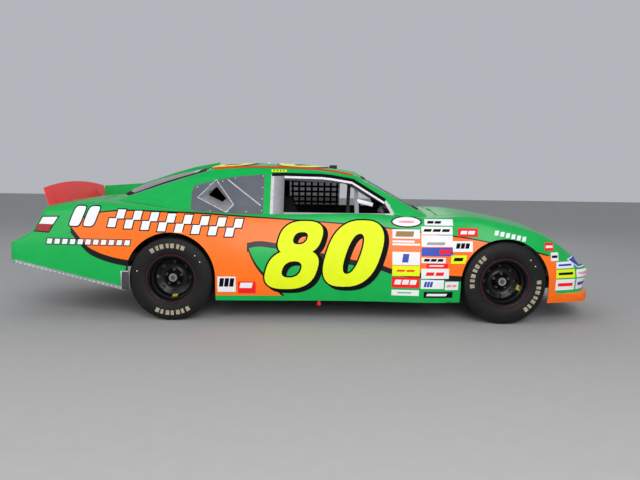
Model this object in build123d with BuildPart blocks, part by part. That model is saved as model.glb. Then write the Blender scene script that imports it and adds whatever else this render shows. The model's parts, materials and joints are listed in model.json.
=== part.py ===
"""A full-bodied oval-track stock car: steel body panels over a tube and box frame.

The frame is +X forward, +Y to the car's left and +Z up, in millimetres. The origin is on the ground under
the middle of the car's length and width. Panels that are welded and smoothed on the real car meet face to face, and
the hood and the deck lid have an open gap all round.
"""

import os

from build123d import *

# Driving dimensions
length = 5124.0
wheelbase = 2794.0
front_overhang = 930.0
roof_height = 1335.0
rocker_height = 180.0
sheet = 8.0  # body panel wall
moving_gap = 6.0  # between a moving piece and its neighbours
pin_gap = 0.05  # radial, at the steering pins

nose_x = length / 2
tail_x = -length / 2
front_axle_x = nose_x - front_overhang
rear_axle_x = front_axle_x - wheelbase

# Wheels
track = 1540.0
tyre_radius = 351.0
tyre_width = 290.0
rim_radius = 190.0  # bead seat
rim_width = 254.0  # over the flanges
flange_height = 16.0
rim_wall = 7.0
hub_height = tyre_radius
wheel_y = track / 2

# Wheel openings
arch_radius = 374.0
front_arch_top = 722.0
rear_arch_top = 742.0

# Steering
kingpin_y = 590.0
pivot_y = 290.0  # pitman and idler arms
steering_arm = 150.0
pivot_pin = 10.0
link_pin = 8.0

# Panel seams, along the car
nose_seam_x = front_axle_x + arch_radius + 40
fender_seam_x = front_axle_x - 700
post_seam_x = -335.0
tail_seam_x = tail_x + 442
post_seam_z = 1195.0
hood_front_x = nose_x - 395
hood_rear_x = front_axle_x - 555
hood_front_half = 560.0
hood_rear_half = 690.0
hinge_gap = 10.0
deck_front_x = rear_axle_x - 635
deck_half = 600.0
deck_rear_x = tail_x + 330

# Underbody heights
rail_low_z = 190.0
rail_height = 100.0
rail_width = 76.0


def make_parts_folder():
    os.makedirs("parts", exist_ok=True)


def save(part, name):
    part.label = name
    export_step(part, f"parts/{name}.step")


def plan_block(points, low, high):
    """A prism with this outline seen from above."""
    with BuildPart() as block:
        with BuildSketch(Plane.XY.offset(low)):
            with BuildLine():
                Polyline(*points, close=True)
            make_face()
        extrude(amount=high - low)
    return block.part


def side_block(points, right, left):
    """A prism with this outline seen from the side, from y = right to y = left."""
    with BuildPart() as block:
        with BuildSketch(Plane.XZ.offset(-left)):
            with BuildLine():
                Polyline(*points, close=True)
            make_face()
        extrude(amount=left - right)
    return block.part


def box_block(low, high):
    """A box between two corners."""
    with BuildPart() as block:
        with Locations(low):
            Box(
                high[0] - low[0],
                high[1] - low[1],
                high[2] - low[2],
                align=(Align.MIN, Align.MIN, Align.MIN),
            )
    return block.part


def trimmed(skin, keep=(), less=()):
    """The skin inside every block of keep and outside every block of less."""
    with BuildPart() as panel:
        add(skin)
        for block in keep:
            add(block, mode=Mode.INTERSECT)
        for block in less:
            add(block, mode=Mode.SUBTRACT)
    return panel.part


def tube_along(points, radius, bend=90.0):
    """A round bar along straight runs with rounded corners."""
    with BuildPart() as tube:
        with BuildLine() as path:
            if len(points) > 2:
                FilletPolyline(*points, radius=bend)
            else:
                Line(*points)
        with BuildSketch(Plane(origin=path.line @ 0, z_dir=path.line % 0)):
            Circle(radius)
        sweep()
    return tube.part


# Lower body: sections across the car, from tail to nose.
# x | rocker half width | widest half width | shoulder half width | shoulder z
#   | crown edge half width | crown edge z | centre z
body_sections = [
    (tail_x - 138, 790, 815, 760, 845, 660, 895, 915),
    (tail_x + 321, 835, 858, 800, 872, 705, 935, 958),
    (rear_axle_x - 509, 880, 908, 850, 900, 745, 980, 1025),
    (rear_axle_x, 905, 937, 872, 880, 765, 928, 985),
    (-300, 895, 920, 838, 868, 770, 898, 928),
    (front_axle_x - 932, 895, 920, 840, 862, 765, 900, 945),
    (front_axle_x - 482, 900, 926, 852, 842, 760, 893, 938),
    (front_axle_x, 905, 937, 868, 788, 765, 850, 885),
    (nose_x - 662, 890, 917, 850, 722, 750, 783, 828),
    (nose_x - 517, 852, 878, 815, 665, 715, 722, 775),
    (nose_x - 330, 795, 818, 760, 548, 665, 600, 662),
    (nose_x - 142, 718, 740, 685, 425, 590, 468, 520),
    (nose_x + 38, 640, 660, 605, 320, 510, 352, 390),
]

# Plan outlines that shape the nose and the tail: z | nose set back | tail set forward
plan_levels = [
    (90, 0, 0),
    (240, 0, 0),
    (256, 30, 0),
    (300, 42, 0),
    (400, 10, 0),
    (625, 10, 0),
    (723, 60, 175),
    (945, 150, 310),
    (1100, 200, 405),
]


def side_half(row, z):
    """The half width of the side at this height: a parabola through the rocker, the widest point and the shoulder."""
    x, rocker, wide, shoulder, shoulder_z, crown, crown_z, centre_z = row
    u = (z - rocker_height) / (shoulder_z - rocker_height)
    return rocker * (1 - u) * (1 - 2 * u) + 4 * wide * u * (1 - u) + shoulder * u * (2 * u - 1)


def body_section(row, inset, drop):
    x, rocker, wide, shoulder, shoulder_z, crown, crown_z, centre_z = row
    low = rocker_height - drop
    middle = (low + shoulder_z) / 2
    low_half = side_half(row, low) - inset
    soft = inset * 0.6
    with BuildSketch(Plane.YZ.offset(x)) as section:
        with BuildLine():
            Line((-low_half, low), (low_half, low))
            for s in (1, -1):
                side = ThreePointArc(
                    (s * low_half, low),
                    (s * (side_half(row, middle) - inset), middle),
                    (s * (shoulder - inset), shoulder_z - soft),
                )
                TangentArc(side @ 1, (s * (crown - soft), crown_z - inset), tangent=side % 1)
            ThreePointArc(
                (crown - soft, crown_z - inset), (0, centre_z - inset), (soft - crown, crown_z - inset)
            )
        make_face()
    return section.sketch


def plan_outline(z, back, forward, inset):
    """One level of the nose and tail shape: end arcs, corner arcs and flaring sides that clear the body."""
    nose = nose_x - back - inset
    tail = tail_x + forward + inset
    with BuildSketch(Plane.XY.offset(z)) as level:
        with BuildLine():
            front = ThreePointArc((nose - 120, inset - 620), (nose, 0), (nose - 120, 620 - inset))
            rear = ThreePointArc((tail + 22, inset - 740), (tail, 0), (tail + 22, 740 - inset))
            for s in (1, -1):
                front_end = front @ (0.5 + 0.5 * s)
                front_way = front % (0.5 + 0.5 * s)
                rear_end = rear @ (0.5 + 0.5 * s)
                rear_way = rear % (0.5 + 0.5 * s)
                TangentArc(front_end, (nose - 330, s * (822 - inset)), tangent=front_way * s)
                TangentArc(rear_end, (tail + 150, s * (855 - inset)), tangent=rear_way * s)
                Polyline(
                    (nose - 330, s * (822 - inset)),
                    (nose - 900, s * (1010 - inset)),
                    (tail + 900, s * (1010 - inset)),
                    (tail + 150, s * (855 - inset)),
                )
        make_face()
    return level.sketch


def body_solid(inset, drop):
    with BuildPart() as ends:
        for z, back, forward in plan_levels:
            add(plan_outline(z, back, forward, inset))
        loft(ruled=True)
    with BuildPart() as solid:
        for row in body_sections:
            add(body_section(row, inset, drop))
        loft()
        add(ends.part, mode=Mode.INTERSECT)
    return solid.part


# Greenhouse: plan outlines that lean in from the belt to above the roof.
belt_z = 900.0
cap_z = 1420.0
cabin_front_x = front_axle_x - 655  # windscreen corner at the belt
cabin_rear_x = rear_axle_x - 788  # backlight corner carried down to the belt
windscreen_run = 1.827  # rearward per unit of height
backlight_run = 3.0  # forward per unit of height
side_lean = 0.55
cabin_low_z = 840.0
roof_peak_x = -395.0
roof_side_radius = 5000.0
roof_cross_radius = 3400.0
roof_arc = 44.0

# Levels of the greenhouse: z | how far the middle of the rear window stands behind its edges
cabin_levels = [
    (cabin_low_z, 60),
    (1000, 140),
    (1100, 285),
    (1170, 310),
    (1240, 250),
    (1330, 120),
    (cap_z, 60),
]


def cabin_outline(z, crown, inset):
    rise = z - belt_z
    side = inset * 1.15
    front = cabin_front_x - windscreen_run * rise - inset * 2.1
    rear = cabin_rear_x + backlight_run * rise + inset * 3.2
    front_y = 745 - 0.5 * rise - side
    middle_y = 800 - side_lean * rise - side
    rear_y = 690 - 0.45 * rise - side
    with BuildSketch(Plane.XY.offset(z)) as level:
        with BuildLine():
            ThreePointArc((front, -front_y), (front + 95, 0), (front, front_y))
            ThreePointArc((rear, -rear_y), (rear - crown, 0), (rear, rear_y))
            for s in (1, -1):
                ThreePointArc((front, s * front_y), ((front + rear) / 2, s * middle_y), (rear, s * rear_y))
        make_face()
        fillet(level.vertices(), 45)
    return level.sketch


def cabin_solid(inset):
    top = roof_height - inset
    with BuildPart() as roof:
        with BuildSketch(Plane.YZ.offset(roof_peak_x)):
            with BuildLine():
                edge = 1100.0
                edge_z = top - (roof_cross_radius - (roof_cross_radius**2 - edge**2) ** 0.5)
                ThreePointArc((-edge, edge_z), (0, top), (edge, edge_z))
                Polyline((edge, edge_z), (edge, 300), (-edge, 300), (-edge, edge_z))
            make_face()
        axis = Axis((roof_peak_x, 0, top - roof_side_radius), (0, 1, 0))
        revolve(axis=axis, revolution_arc=roof_arc)
    with BuildPart() as roof_sweep:
        add(roof.part.rotate(axis, -roof_arc / 2))
    with BuildPart() as solid:
        for z, crown in cabin_levels:
            add(cabin_outline(z, crown, inset))
        loft()
        add(roof_sweep.part, mode=Mode.INTERSECT)
    return solid.part


make_parts_folder()

outer = body_solid(0, 0)
inner = body_solid(sheet, 20)
grown = body_solid(-moving_gap, 0)
cabin = cabin_solid(0)
cabin_inner = cabin_solid(sheet)
far = 2000.0

# Wheel openings and the rising tail edge
with BuildPart() as arches:
    for x, top in ((front_axle_x, front_arch_top), (rear_axle_x, rear_arch_top)):
        centre = top - arch_radius
        with BuildSketch(Plane.XZ.offset(-far)):
            with BuildLine():
                ThreePointArc((x - arch_radius, centre), (x, top), (x + arch_radius, centre))
                Polyline(
                    (x + arch_radius, centre),
                    (x + arch_radius, 0),
                    (x - arch_radius, 0),
                    (x - arch_radius, centre),
                )
            make_face()
        extrude(amount=far - 500)
    mirror(about=Plane.XZ)

tail_edge_front_z = 249.0
tail_edge_rear_z = 478.0
tail_rise = [
    (tail_x - 50, 0),
    (rear_axle_x - arch_radius, 0),
    (rear_axle_x - arch_radius, tail_edge_front_z),
    (tail_x, tail_edge_rear_z),
    (tail_x - 50, tail_edge_rear_z),
]
tail_cut = side_block(tail_rise, -far, far)

# Cooling inlet and brake ducts in the nose
inlet_half = 330.0
with BuildPart() as inlets:
    with Locations((nose_x - 60, 0, 306)):
        Box(200, 2 * inlet_half, 84)
    with Locations((nose_x - 100, -470, 310), (nose_x - 100, 470, 310)):
        Cylinder(40, 240, rotation=(0, 90, 0))

with BuildPart() as skin:
    add(outer)
    add(inner, mode=Mode.SUBTRACT)
    add(cabin_inner, mode=Mode.SUBTRACT)
    add(arches.part, mode=Mode.SUBTRACT)
    add(tail_cut, mode=Mode.SUBTRACT)
    add(inlets.part, mode=Mode.SUBTRACT)


# Panels seen from above
def hood_plan(grow):
    rear = hood_rear_x - hinge_gap / 2 - grow
    front = hood_front_x + grow
    wide = hood_rear_half + grow
    narrow = hood_front_half + grow
    with BuildPart() as block:
        with BuildSketch(Plane.XY.offset(560)):
            with BuildLine():
                Polyline((front - 45, narrow), (rear, wide), (rear, -wide), (front - 45, -narrow))
                ThreePointArc((front - 45, -narrow), (front, 0), (front - 45, narrow))
            make_face()
        extrude(amount=500)
    return block.part


def deck_plan(grow):
    front = deck_front_x + hinge_gap / 2 + grow
    rear = deck_rear_x - grow
    wide = deck_half + grow
    return plan_block([(front, -wide), (front, wide), (rear, wide), (rear, -wide)], 800, 1100)


hood_block = hood_plan(-hinge_gap)
hood_hole = hood_plan(0)
deck_block = deck_plan(-hinge_gap)
deck_hole = deck_plan(0)


def top_z(x, y):
    """The height of the outer skin here."""
    hits = outer.find_intersection_points(Axis((x, y, far), (0, 0, -1)))
    return max(point.Z for point, normal in hits)


hinge_ys = (-300.0, 300.0)
hinge_barrel = 9.0
hinge_pin = 4.0
hood_hinge_z = top_z(hood_rear_x, hinge_ys[1]) + 2
deck_hinge_z = top_z(deck_front_x, hinge_ys[1]) + 2


def hinge_rod(x, z, radius, half, shift=0.0):
    """A short rod across the car at both hinges, shifted out along y on both sides of each hinge."""
    with BuildPart() as rods:
        for y in hinge_ys:
            for way in (-1, 1) if shift else (1,):
                with Locations((x, y + way * shift, z)):
                    Cylinder(radius, 2 * half, rotation=(90, 0, 0))
    return rods.part


def hinged_panel(block, x, z):
    """The moving half: a piece of skin with two bored barrels."""
    panel = trimmed(skin.part, keep=[block])
    relief = hinge_rod(x, z, hinge_barrel + moving_gap, 13, 32)
    barrels = hinge_rod(x, z, hinge_barrel, 13)
    bores = hinge_rod(x, z, hinge_pin + pin_gap, 14)
    with BuildPart() as piece:
        add(panel)
        add(relief, mode=Mode.SUBTRACT)
        add(barrels)
        add(bores, mode=Mode.SUBTRACT)
    return piece.part


def hinge_seat(panel, x, z):
    """The fixed half: the panel with two lugs and a pin at each hinge."""
    relief = hinge_rod(x, z, hinge_barrel + moving_gap, 19)
    lugs = hinge_rod(x, z, hinge_barrel, 6, 25)
    pins = hinge_rod(x, z, hinge_pin, 25)
    with BuildPart() as piece:
        add(panel)
        add(relief, mode=Mode.SUBTRACT)
        add(lugs)
        add(pins)
    return piece.part


hood = hinged_panel(hood_block, hood_rear_x, hood_hinge_z)
save(hood, "hood")
deck_lid = hinged_panel(deck_block, deck_front_x, deck_hinge_z)
save(deck_lid, "deck_lid")

nose_block = box_block((nose_seam_x, -far, 245), (nose_x + 50, far, far))
valance_block = box_block((nose_seam_x, -far, 0), (nose_x + 50, far, 245))
cowl_block = box_block((fender_seam_x, -hood_rear_half, 560), (hood_rear_x + 60, hood_rear_half, far))
filler_block = box_block((deck_front_x - 30, -deck_half, 560), (rear_axle_x, deck_half, far))
tail_block = box_block((tail_x - 50, -far, 0), (tail_seam_x, far, far))
fender_blocks = {
    "left": box_block((fender_seam_x, 0, 0), (nose_seam_x, far, far)),
    "right": box_block((fender_seam_x, -far, 0), (nose_seam_x, 0, far)),
}
door_blocks = {
    "left": box_block((post_seam_x, 0, 0), (fender_seam_x, far, far)),
    "right": box_block((post_seam_x, -far, 0), (fender_seam_x, 0, far)),
}
quarter_blocks = {
    "left": box_block((tail_seam_x, 0, 0), (post_seam_x, far, far)),
    "right": box_block((tail_seam_x, -far, 0), (post_seam_x, 0, far)),
}

save(trimmed(skin.part, keep=[nose_block], less=[hood_hole]), "nose")
save(trimmed(skin.part, keep=[valance_block]), "front_valance")
save(trimmed(skin.part, keep=[tail_block], less=[deck_hole]), "tail")
cowl_panel = trimmed(skin.part, keep=[cowl_block], less=[hood_hole])
save(hinge_seat(cowl_panel, hood_rear_x, hood_hinge_z), "cowl")
filler_panel = trimmed(skin.part, keep=[filler_block], less=[deck_hole])
save(hinge_seat(filler_panel, deck_front_x, deck_hinge_z), "filler_panel")

# Fuel filler in the left quarter
filler_x = rear_axle_x - 560
filler_z = 800.0
filler_outer = 58.0
filler_bore = 38.0
filler_bore_length = 70.0
filler_tip_y = 893.0
with BuildPart() as filler_hole:
    with Locations((filler_x, filler_tip_y - 40, filler_z)):
        Cylinder(filler_outer, 200, rotation=(90, 0, 0))

for side in ("left", "right"):
    save(trimmed(skin.part, keep=[fender_blocks[side]], less=[hood_hole, cowl_block]), f"fender_{side}")
    save(trimmed(skin.part, keep=[door_blocks[side]]), f"door_{side}")
    holes = [deck_hole, filler_block] + ([filler_hole.part] if side == "left" else [])
    save(trimmed(skin.part, keep=[quarter_blocks[side]], less=holes), f"quarter_{side}")

with BuildPart() as fuel_filler:
    with Locations((filler_x, filler_tip_y - filler_bore_length / 2, filler_z)):
        Cylinder(filler_outer, filler_bore_length, rotation=(90, 0, 0))
        Cylinder(filler_bore, filler_bore_length, rotation=(90, 0, 0), mode=Mode.SUBTRACT)
save(fuel_filler.part, "fuel_filler")

# Greenhouse
with BuildPart() as house:
    add(cabin)
    add(cabin_inner, mode=Mode.SUBTRACT)
    add(outer, mode=Mode.SUBTRACT)

with BuildPart() as windscreen_hole:
    with BuildSketch(Plane.XY.offset(860)):
        with BuildLine():
            ThreePointArc((922, -668), (1012, 0), (922, 668))
            Line((922, 668), (425, 525))
            ThreePointArc((425, 525), (455, 0), (425, -525))
            Line((425, -525), (922, -668))
        make_face()
    extrude(amount=500)

with BuildPart() as backlight_hole:
    with BuildSketch(Plane.XY.offset(860)):
        with BuildLine():
            ThreePointArc((-1595, -600), (-1752, 0), (-1595, 600))
            Line((-1595, 600), (-925, 500))
            ThreePointArc((-925, 500), (-895, 0), (-925, -500))
            Line((-925, -500), (-1595, -600))
        make_face()
    extrude(amount=500)

door_window = [
    (-350, 1232),
    (85, 1227),
    (174, 1219),
    (357, 1190),
    (647, 1014),
    (700, 925),
    (700, 860),
    (-350, 860),
]
door_opening = [
    (-236, 1214),
    (85, 1209),
    (168, 1201),
    (348, 1173),
    (622, 1006),
    (668, 925),
    (668, 915),
    (-236, 915),
]
quarter_window = [
    (-407, 1232),
    (-676, 1206),
    (-848, 1171),
    (-1006, 1127),
    (-1029, 1083),
    (-1016, 860),
    (-407, 860),
]
duct_hole = [(-826, 1168), (-960, 1028), (-722, 917), (-668, 972)]

save(trimmed(house.part, keep=[windscreen_hole.part]), "windscreen")
save(trimmed(house.part, keep=[backlight_hole.part]), "rear_window")

door_bands = [side_block(door_window, 480, far), side_block(door_window, -far, -480)]
opening_bands = [side_block(door_opening, 480, far), side_block(door_opening, -far, -480)]
quarter_bands = [side_block(quarter_window, 480, far), side_block(quarter_window, -far, -480)]
duct_band = side_block(duct_hole, -far, -480)

shell = trimmed(
    house.part, less=[windscreen_hole.part, backlight_hole.part] + door_bands + quarter_bands
)
roof_block = box_block((-far, -far, post_seam_z), (far, far, far))
save(trimmed(shell, keep=[roof_block]), "roof")
low_block = box_block((-2200, -far, 0), (far, far, post_seam_z))
save(trimmed(shell, keep=[low_block]), "posts")

frames = [trimmed(house.part, keep=[door_bands[k]], less=[opening_bands[k]]) for k in (0, 1)]
save(frames[0] + frames[1], "window_frames")
sheets = [
    trimmed(house.part, keep=[quarter_bands[0]]),
    trimmed(house.part, keep=[quarter_bands[1]], less=[duct_band]),
]
save(sheets[0] + sheets[1], "quarter_sheets")
net_block = box_block((-236, 480, 900), (300, far, 1190))
save(trimmed(house.part, keep=[opening_bands[0], net_block]), "window_net")

# Spoiler across the deck lid's rear edge
spoiler_half = 760.0
with BuildPart() as spoiler_plate:
    with BuildSketch(Plane.YZ.offset(-250)):
        with BuildLine():
            Polyline((-spoiler_half, 1090), (-spoiler_half, 850), (spoiler_half, 850), (spoiler_half, 1090))
            ThreePointArc((spoiler_half, 1090), (0, 1140), (-spoiler_half, 1090))
        make_face()
    extrude(amount=500)
spoiler_foot_x = deck_rear_x + 20
spoiler_lean = 16.0
with BuildPart() as spoiler:
    with Locations(Location((spoiler_foot_x, 0, 950), (0, -spoiler_lean, 0))):
        Box(6, 2 * spoiler_half, 600)
    add(spoiler_plate.part.moved(Location((spoiler_foot_x, 0, 0))), mode=Mode.INTERSECT)
    add(outer, mode=Mode.SUBTRACT)
over_quarter = [
    box_block((-2500, deck_half - hinge_gap, 0), (-2000, far, far)),
    box_block((-2500, -far, 0), (-2000, hinge_gap - deck_half, far)),
]
clearance = [trimmed(grown, keep=[block]) for block in over_quarter]
save(trimmed(spoiler.part, less=clearance), "spoiler")

# Fin along the left edge of the rear window and deck
fin_y = 632.0
fin_outline = [
    (-2196, 1090),
    (-2107, 1096),
    (-1777, 1122),
    (-1447, 1236),
    (-1231, 1300),
    (-972, 1352),
    (-972, 1200),
    (-1300, 1000),
    (-2196, 900),
]
fin = side_block(fin_outline, fin_y, fin_y + 5)
save(trimmed(fin, less=[outer, cabin, deck_hole]), "deck_fin")

# Frame rails
rail_y = 728.0
front_rail_y = 418.0
rear_rail_y = 518.0
half_rail = rail_width / 2
rail_top_z = rail_low_z + rail_height
mid_front_x = 1010.0
mid_rear_x = -760.0
rear_rail_low = 450.0
front_rail_low = 240.0
with BuildPart() as rails:
    for s in (-1, 1):
        with Locations(((mid_front_x + mid_rear_x) / 2, s * rail_y, (rail_low_z + rail_top_z) / 2)):
            Box(mid_front_x - mid_rear_x, rail_width, rail_height)
        with Locations(((mid_front_x - 76 + 2300) / 2, s * front_rail_y, front_rail_low + 50)):
            Box(2300 - mid_front_x + 76, rail_width, rail_height)
        with BuildSketch(Plane.XZ.offset(-s * rear_rail_y - half_rail)):
            with BuildLine():
                Polyline(
                    (mid_rear_x + 76, rail_low_z),
                    (mid_rear_x, rail_low_z),
                    (mid_rear_x - 130, rear_rail_low),
                    (tail_x + 170, rear_rail_low),
                    (tail_x + 170, rear_rail_low + 76),
                    (mid_rear_x - 90, rear_rail_low + 76),
                    (mid_rear_x + 76, rail_top_z),
                    close=True,
                )
            make_face()
        extrude(amount=rail_width)
        # Steering pivots on brackets inside the front rails
        with Locations((front_axle_x, s * 325, 300)):
            Box(64, 110, 60)
        with Locations((front_axle_x, s * pivot_y, 259)):
            Cylinder(pivot_pin, 22)
    for x in (mid_rear_x + 38, mid_front_x - 38):
        with Locations((x, 0, (rail_low_z + rail_top_z) / 2)):
            Box(76, 2 * rail_y + rail_width, rail_height)
    with Locations((2325, 0, front_rail_low + 50)):
        Box(50, 2 * front_rail_y + rail_width, rail_height)
    with Locations((tail_x + 145, 0, rear_rail_low + 38)):
        Box(50, 2 * rear_rail_y + rail_width, 76)
with BuildPart() as outriggers:
    for x in (mid_rear_x + 20, 60, mid_front_x - 20):
        with Locations((x, 0, 240)):
            Box(40, 2000, 40)
    with Locations((tail_x + 200, 0, rear_rail_low + 38), (2312, 0, 300)):
        Box(24, 2000, 40)
    with Locations((tail_x + 60, -400, 488), (tail_x + 60, 400, 488), (2450, -400, 290), (2450, 400, 290)):
        Box(250, 40, 40)
    add(inner, mode=Mode.INTERSECT)
    Box(1700, 1300, 4000, mode=Mode.SUBTRACT)
    add(inlets.part, mode=Mode.SUBTRACT)
save(trimmed(rails.part + outriggers.part), "frame_rails")


# Floor with its tunnel, firewall and rear bulkhead
floor_sheet = 3.0
floor_top = rail_top_z + floor_sheet
tunnel_half = 150.0
tunnel_top = 480.0
firewall_x = mid_front_x - 20
bulkhead_x = mid_rear_x - 30
shelf_z = 725.0
with BuildPart() as floor_pan:
    with BuildSketch(Plane.YZ.offset(bulkhead_x)):
        with BuildLine():
            Polyline(
                (-845, rail_top_z),
                (-tunnel_half, rail_top_z),
                (-tunnel_half + 30, tunnel_top - floor_sheet),
                (tunnel_half - 30, tunnel_top - floor_sheet),
                (tunnel_half, rail_top_z),
                (845, rail_top_z),
                (845, floor_top),
                (tunnel_half + floor_sheet, floor_top),
                (tunnel_half - 27, tunnel_top),
                (27 - tunnel_half, tunnel_top),
                (-tunnel_half - floor_sheet, floor_top),
                (-845, floor_top),
                close=True,
            )
        make_face()
    extrude(amount=firewall_x - bulkhead_x)
    with Locations((firewall_x - 2, 0, 590)):
        Box(4, 1900, 2 * (590 - rail_top_z))
    with Locations((bulkhead_x + 2, 0, (rail_top_z + shelf_z) / 2)):
        Box(4, 1180, shelf_z - rail_top_z)
    with Locations((bulkhead_x - 440, 0, shelf_z)):
        Box(888, 1180, 4)
    with Locations(((firewall_x + bulkhead_x) / 2, 0, rail_top_z)):
        Box(
            firewall_x - bulkhead_x + 40,
            2 * tunnel_half - 60,
            2 * (tunnel_top - rail_top_z - floor_sheet),
            mode=Mode.SUBTRACT,
        )
    add(inner, mode=Mode.INTERSECT)

# Roll cage
hoop_x = -380.0
hoop_top = 1210.0
cage_radius = 22.0
brace_radius = 19.0
leg_y = 728.0
dash_bar = (830.0, 640.0, 925.0)
halo_front = (330.0, 500.0, 1180.0)
leg_x = 950.0
door_bar_y = 810.0
door_bar_heights = (420.0, 560.0, 700.0)
vent_bar_x = 390.0
brace_foot = (rear_axle_x - 320, rear_rail_y, rear_rail_low + 76)


def at_side(point, s):
    return (point[0], s * point[1], point[2])


def rear_brace(s, radius):
    return tube_along([(hoop_x, s * 500, hoop_top), at_side(brace_foot, s)], radius)


tubes = []
for s in (-1, 1):
    front_leg = [
        (hoop_x, s * 560, hoop_top),
        at_side(halo_front, s),
        at_side(dash_bar, s),
        (leg_x, s * leg_y, 700),
        (leg_x, s * leg_y, floor_top),
    ]
    tubes.append(tube_along(front_leg, cage_radius))
    tubes.append(rear_brace(s, brace_radius))
    for z in door_bar_heights:
        door_bar = [
            (hoop_x, s * leg_y, z),
            (hoop_x + 150, s * door_bar_y, z),
            (leg_x - 150, s * door_bar_y, z),
            (leg_x, s * leg_y, z),
        ]
        tubes.append(tube_along(door_bar, brace_radius))
    vent_bar = [(vent_bar_x, s * 525, 1148), (vent_bar_x, s * door_bar_y, door_bar_heights[-1])]
    tubes.append(tube_along(vent_bar, brace_radius))
main_hoop = [
    (hoop_x, -leg_y, floor_top),
    (hoop_x, -leg_y, 830),
    (hoop_x, -575, hoop_top),
    (hoop_x, 575, hoop_top),
    (hoop_x, leg_y, 830),
    (hoop_x, leg_y, floor_top),
]
tubes.append(tube_along(main_hoop, cage_radius))
tubes.append(tube_along([at_side(halo_front, -1), at_side(halo_front, 1)], brace_radius))
tubes.append(tube_along([at_side(dash_bar, -1), at_side(dash_bar, 1)], brace_radius))
tubes.append(tube_along([(hoop_x, -leg_y, 760), (hoop_x, leg_y, 760)], brace_radius))
tubes.append(tube_along([(hoop_x, -470, hoop_top), (hoop_x, leg_y - 30, 440)], brace_radius))
with BuildPart() as roll_cage:
    for tube in tubes:
        add(tube)
save(trimmed(roll_cage.part, less=[rails.part, skin.part]), "roll_cage")
brace_holes = [rear_brace(s, brace_radius + moving_gap) for s in (-1, 1)]
with BuildPart() as shaft_hole:
    with Locations((bulkhead_x, 0, hub_height)):
        Box(100, 140, 200)
    with Locations((firewall_x, 0, 385)):
        Box(100, 236, 180)
save(trimmed(floor_pan.part, less=brace_holes + [shaft_hole.part, rails.part]), "floor_pan")

# Engine, gearbox and driveshaft
with BuildPart() as engine:
    with Locations((1420, 0, 470)):
        Box(560, 400, 380)
    with Locations((1420, 0, 700)):
        Box(420, 240, 90)
    with Locations((1420, 0, 775)):
        Cylinder(190, 70)
    with Locations((1420, 0, 320)):
        Box(50, 2 * (front_rail_y - half_rail), 36)
    with Locations((1720, 0, 470)):
        Cylinder(90, 60, rotation=(0, 90, 0))
save(engine.part, "engine")

axle_radius = 42.0
spindle_radius = 26.0
hub_radius = 52.0
hub_in = 70.0
hub_out = 40.0
spindle_end = 22.0
diff_radius = 150.0
with BuildPart() as driveline:
    with Locations((940, 0, 385)):
        Box(400, 200, 160)
    with Locations((440, 0, 360)):
        Box(640, 120, 120)
    with Locations(((120 + rear_axle_x) / 2, 0, hub_height)):
        Cylinder(38, 120 - rear_axle_x, rotation=(0, 90, 0))
    with Locations((rear_axle_x, 0, hub_height)):
        Sphere(diff_radius)
        Cylinder(axle_radius, 2 * (wheel_y - hub_in - moving_gap), rotation=(90, 0, 0))
        Cylinder(spindle_radius, 2 * (wheel_y + spindle_end), rotation=(90, 0, 0))
    # Trailing arms to the frame and seats under the rails
    for s in (-1, 1):
        with Locations((rear_axle_x, s * rear_rail_y, (hub_height + rear_rail_low) / 2)):
            Cylinder(48, rear_rail_low - hub_height)
        with Locations(((rear_axle_x + mid_rear_x) / 2, s * 400, 250)):
            Box(mid_rear_x - rear_axle_x, 50, 60)
        with Locations((rear_axle_x + 25, s * 400, 290)):
            Box(50, 50, 122)
# Fuel cell on straps over the rear rails
with BuildPart() as fuel_cell:
    with Locations((rear_axle_x - 730, 0, 500)):
        Box(520, 860, 230)
    for x in (rear_axle_x - 600, rear_axle_x - 860):
        with Locations((x, 0, rear_rail_low + 80)):
            Box(50, 2 * rear_rail_y + rail_width, 8)
save(fuel_cell.part, "fuel_cell")

# Radiator between the front rails
with BuildPart() as radiator:
    with Locations((2240, 0, 400)):
        Box(60, 2 * (front_rail_y - half_rail), 300)
save(radiator.part, "radiator")

# Dashboard on the cage's dash bar
with BuildPart() as dashboard:
    with Locations((768, 0, 850)):
        Box(100, 1180, 150)
    with Locations((773, 0, 842)):
        Box(98, 1168, 150, mode=Mode.SUBTRACT)
    add(roll_cage.part, mode=Mode.SUBTRACT)
# Driver's seat
seat_y = 380.0
seat_half = 215.0
seat_wall = 25.0
seat_shell = [(-330, 400), (270, 400), (290, 560), (-60, 620), (-200, 1010), (-372, 1010), (-300, 440)]
seat_space = [(-210, 425), (400, 425), (400, 1200), (-350, 1200), (-320, 960)]
seat_outer = side_block(seat_shell, seat_y - seat_half, seat_y + seat_half)
seat_inner = side_block(seat_space, seat_y - seat_half + seat_wall, seat_y + seat_half - seat_wall)
with BuildPart() as seat:
    add(seat_outer)
    add(seat_inner, mode=Mode.SUBTRACT)
    with Locations((0, seat_y, (400 + floor_top) / 2)):
        Box(420, 340, 400 - floor_top)
save(seat.part, "seat")

# Steering wheel on its column
steering_wheel_x = 430.0
steering_wheel_z = 800.0
column_shaft = 14.0
column_plane = Plane(
    origin=(steering_wheel_x, seat_y, steering_wheel_z), x_dir=(0, 1, 0), z_dir=(-0.9397, 0, 0.342)
)
with BuildPart() as steering_wheel:
    with Locations(column_plane):
        Torus(180, 15)
        Cylinder(45, 24)
        Box(360, 26, 10)
        Box(26, 360, 10)
        with Locations((0, 0, -70)):
            Cylinder(column_shaft, 130)
save(steering_wheel.part, "steering_wheel")
with BuildPart() as steering_column:
    with Locations(column_plane):
        with Locations((0, 0, -390)):
            Cylinder(26, 620)
        with Locations((0, 0, -115)):
            Cylinder(column_shaft + pin_gap, 72, mode=Mode.SUBTRACT)
    with Locations((firewall_x + 300, 0, 500)):
        Box(600 + 8, 2000, 2000, mode=Mode.SUBTRACT)
save(dashboard.part + steering_column.part, "dashboard")

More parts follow.
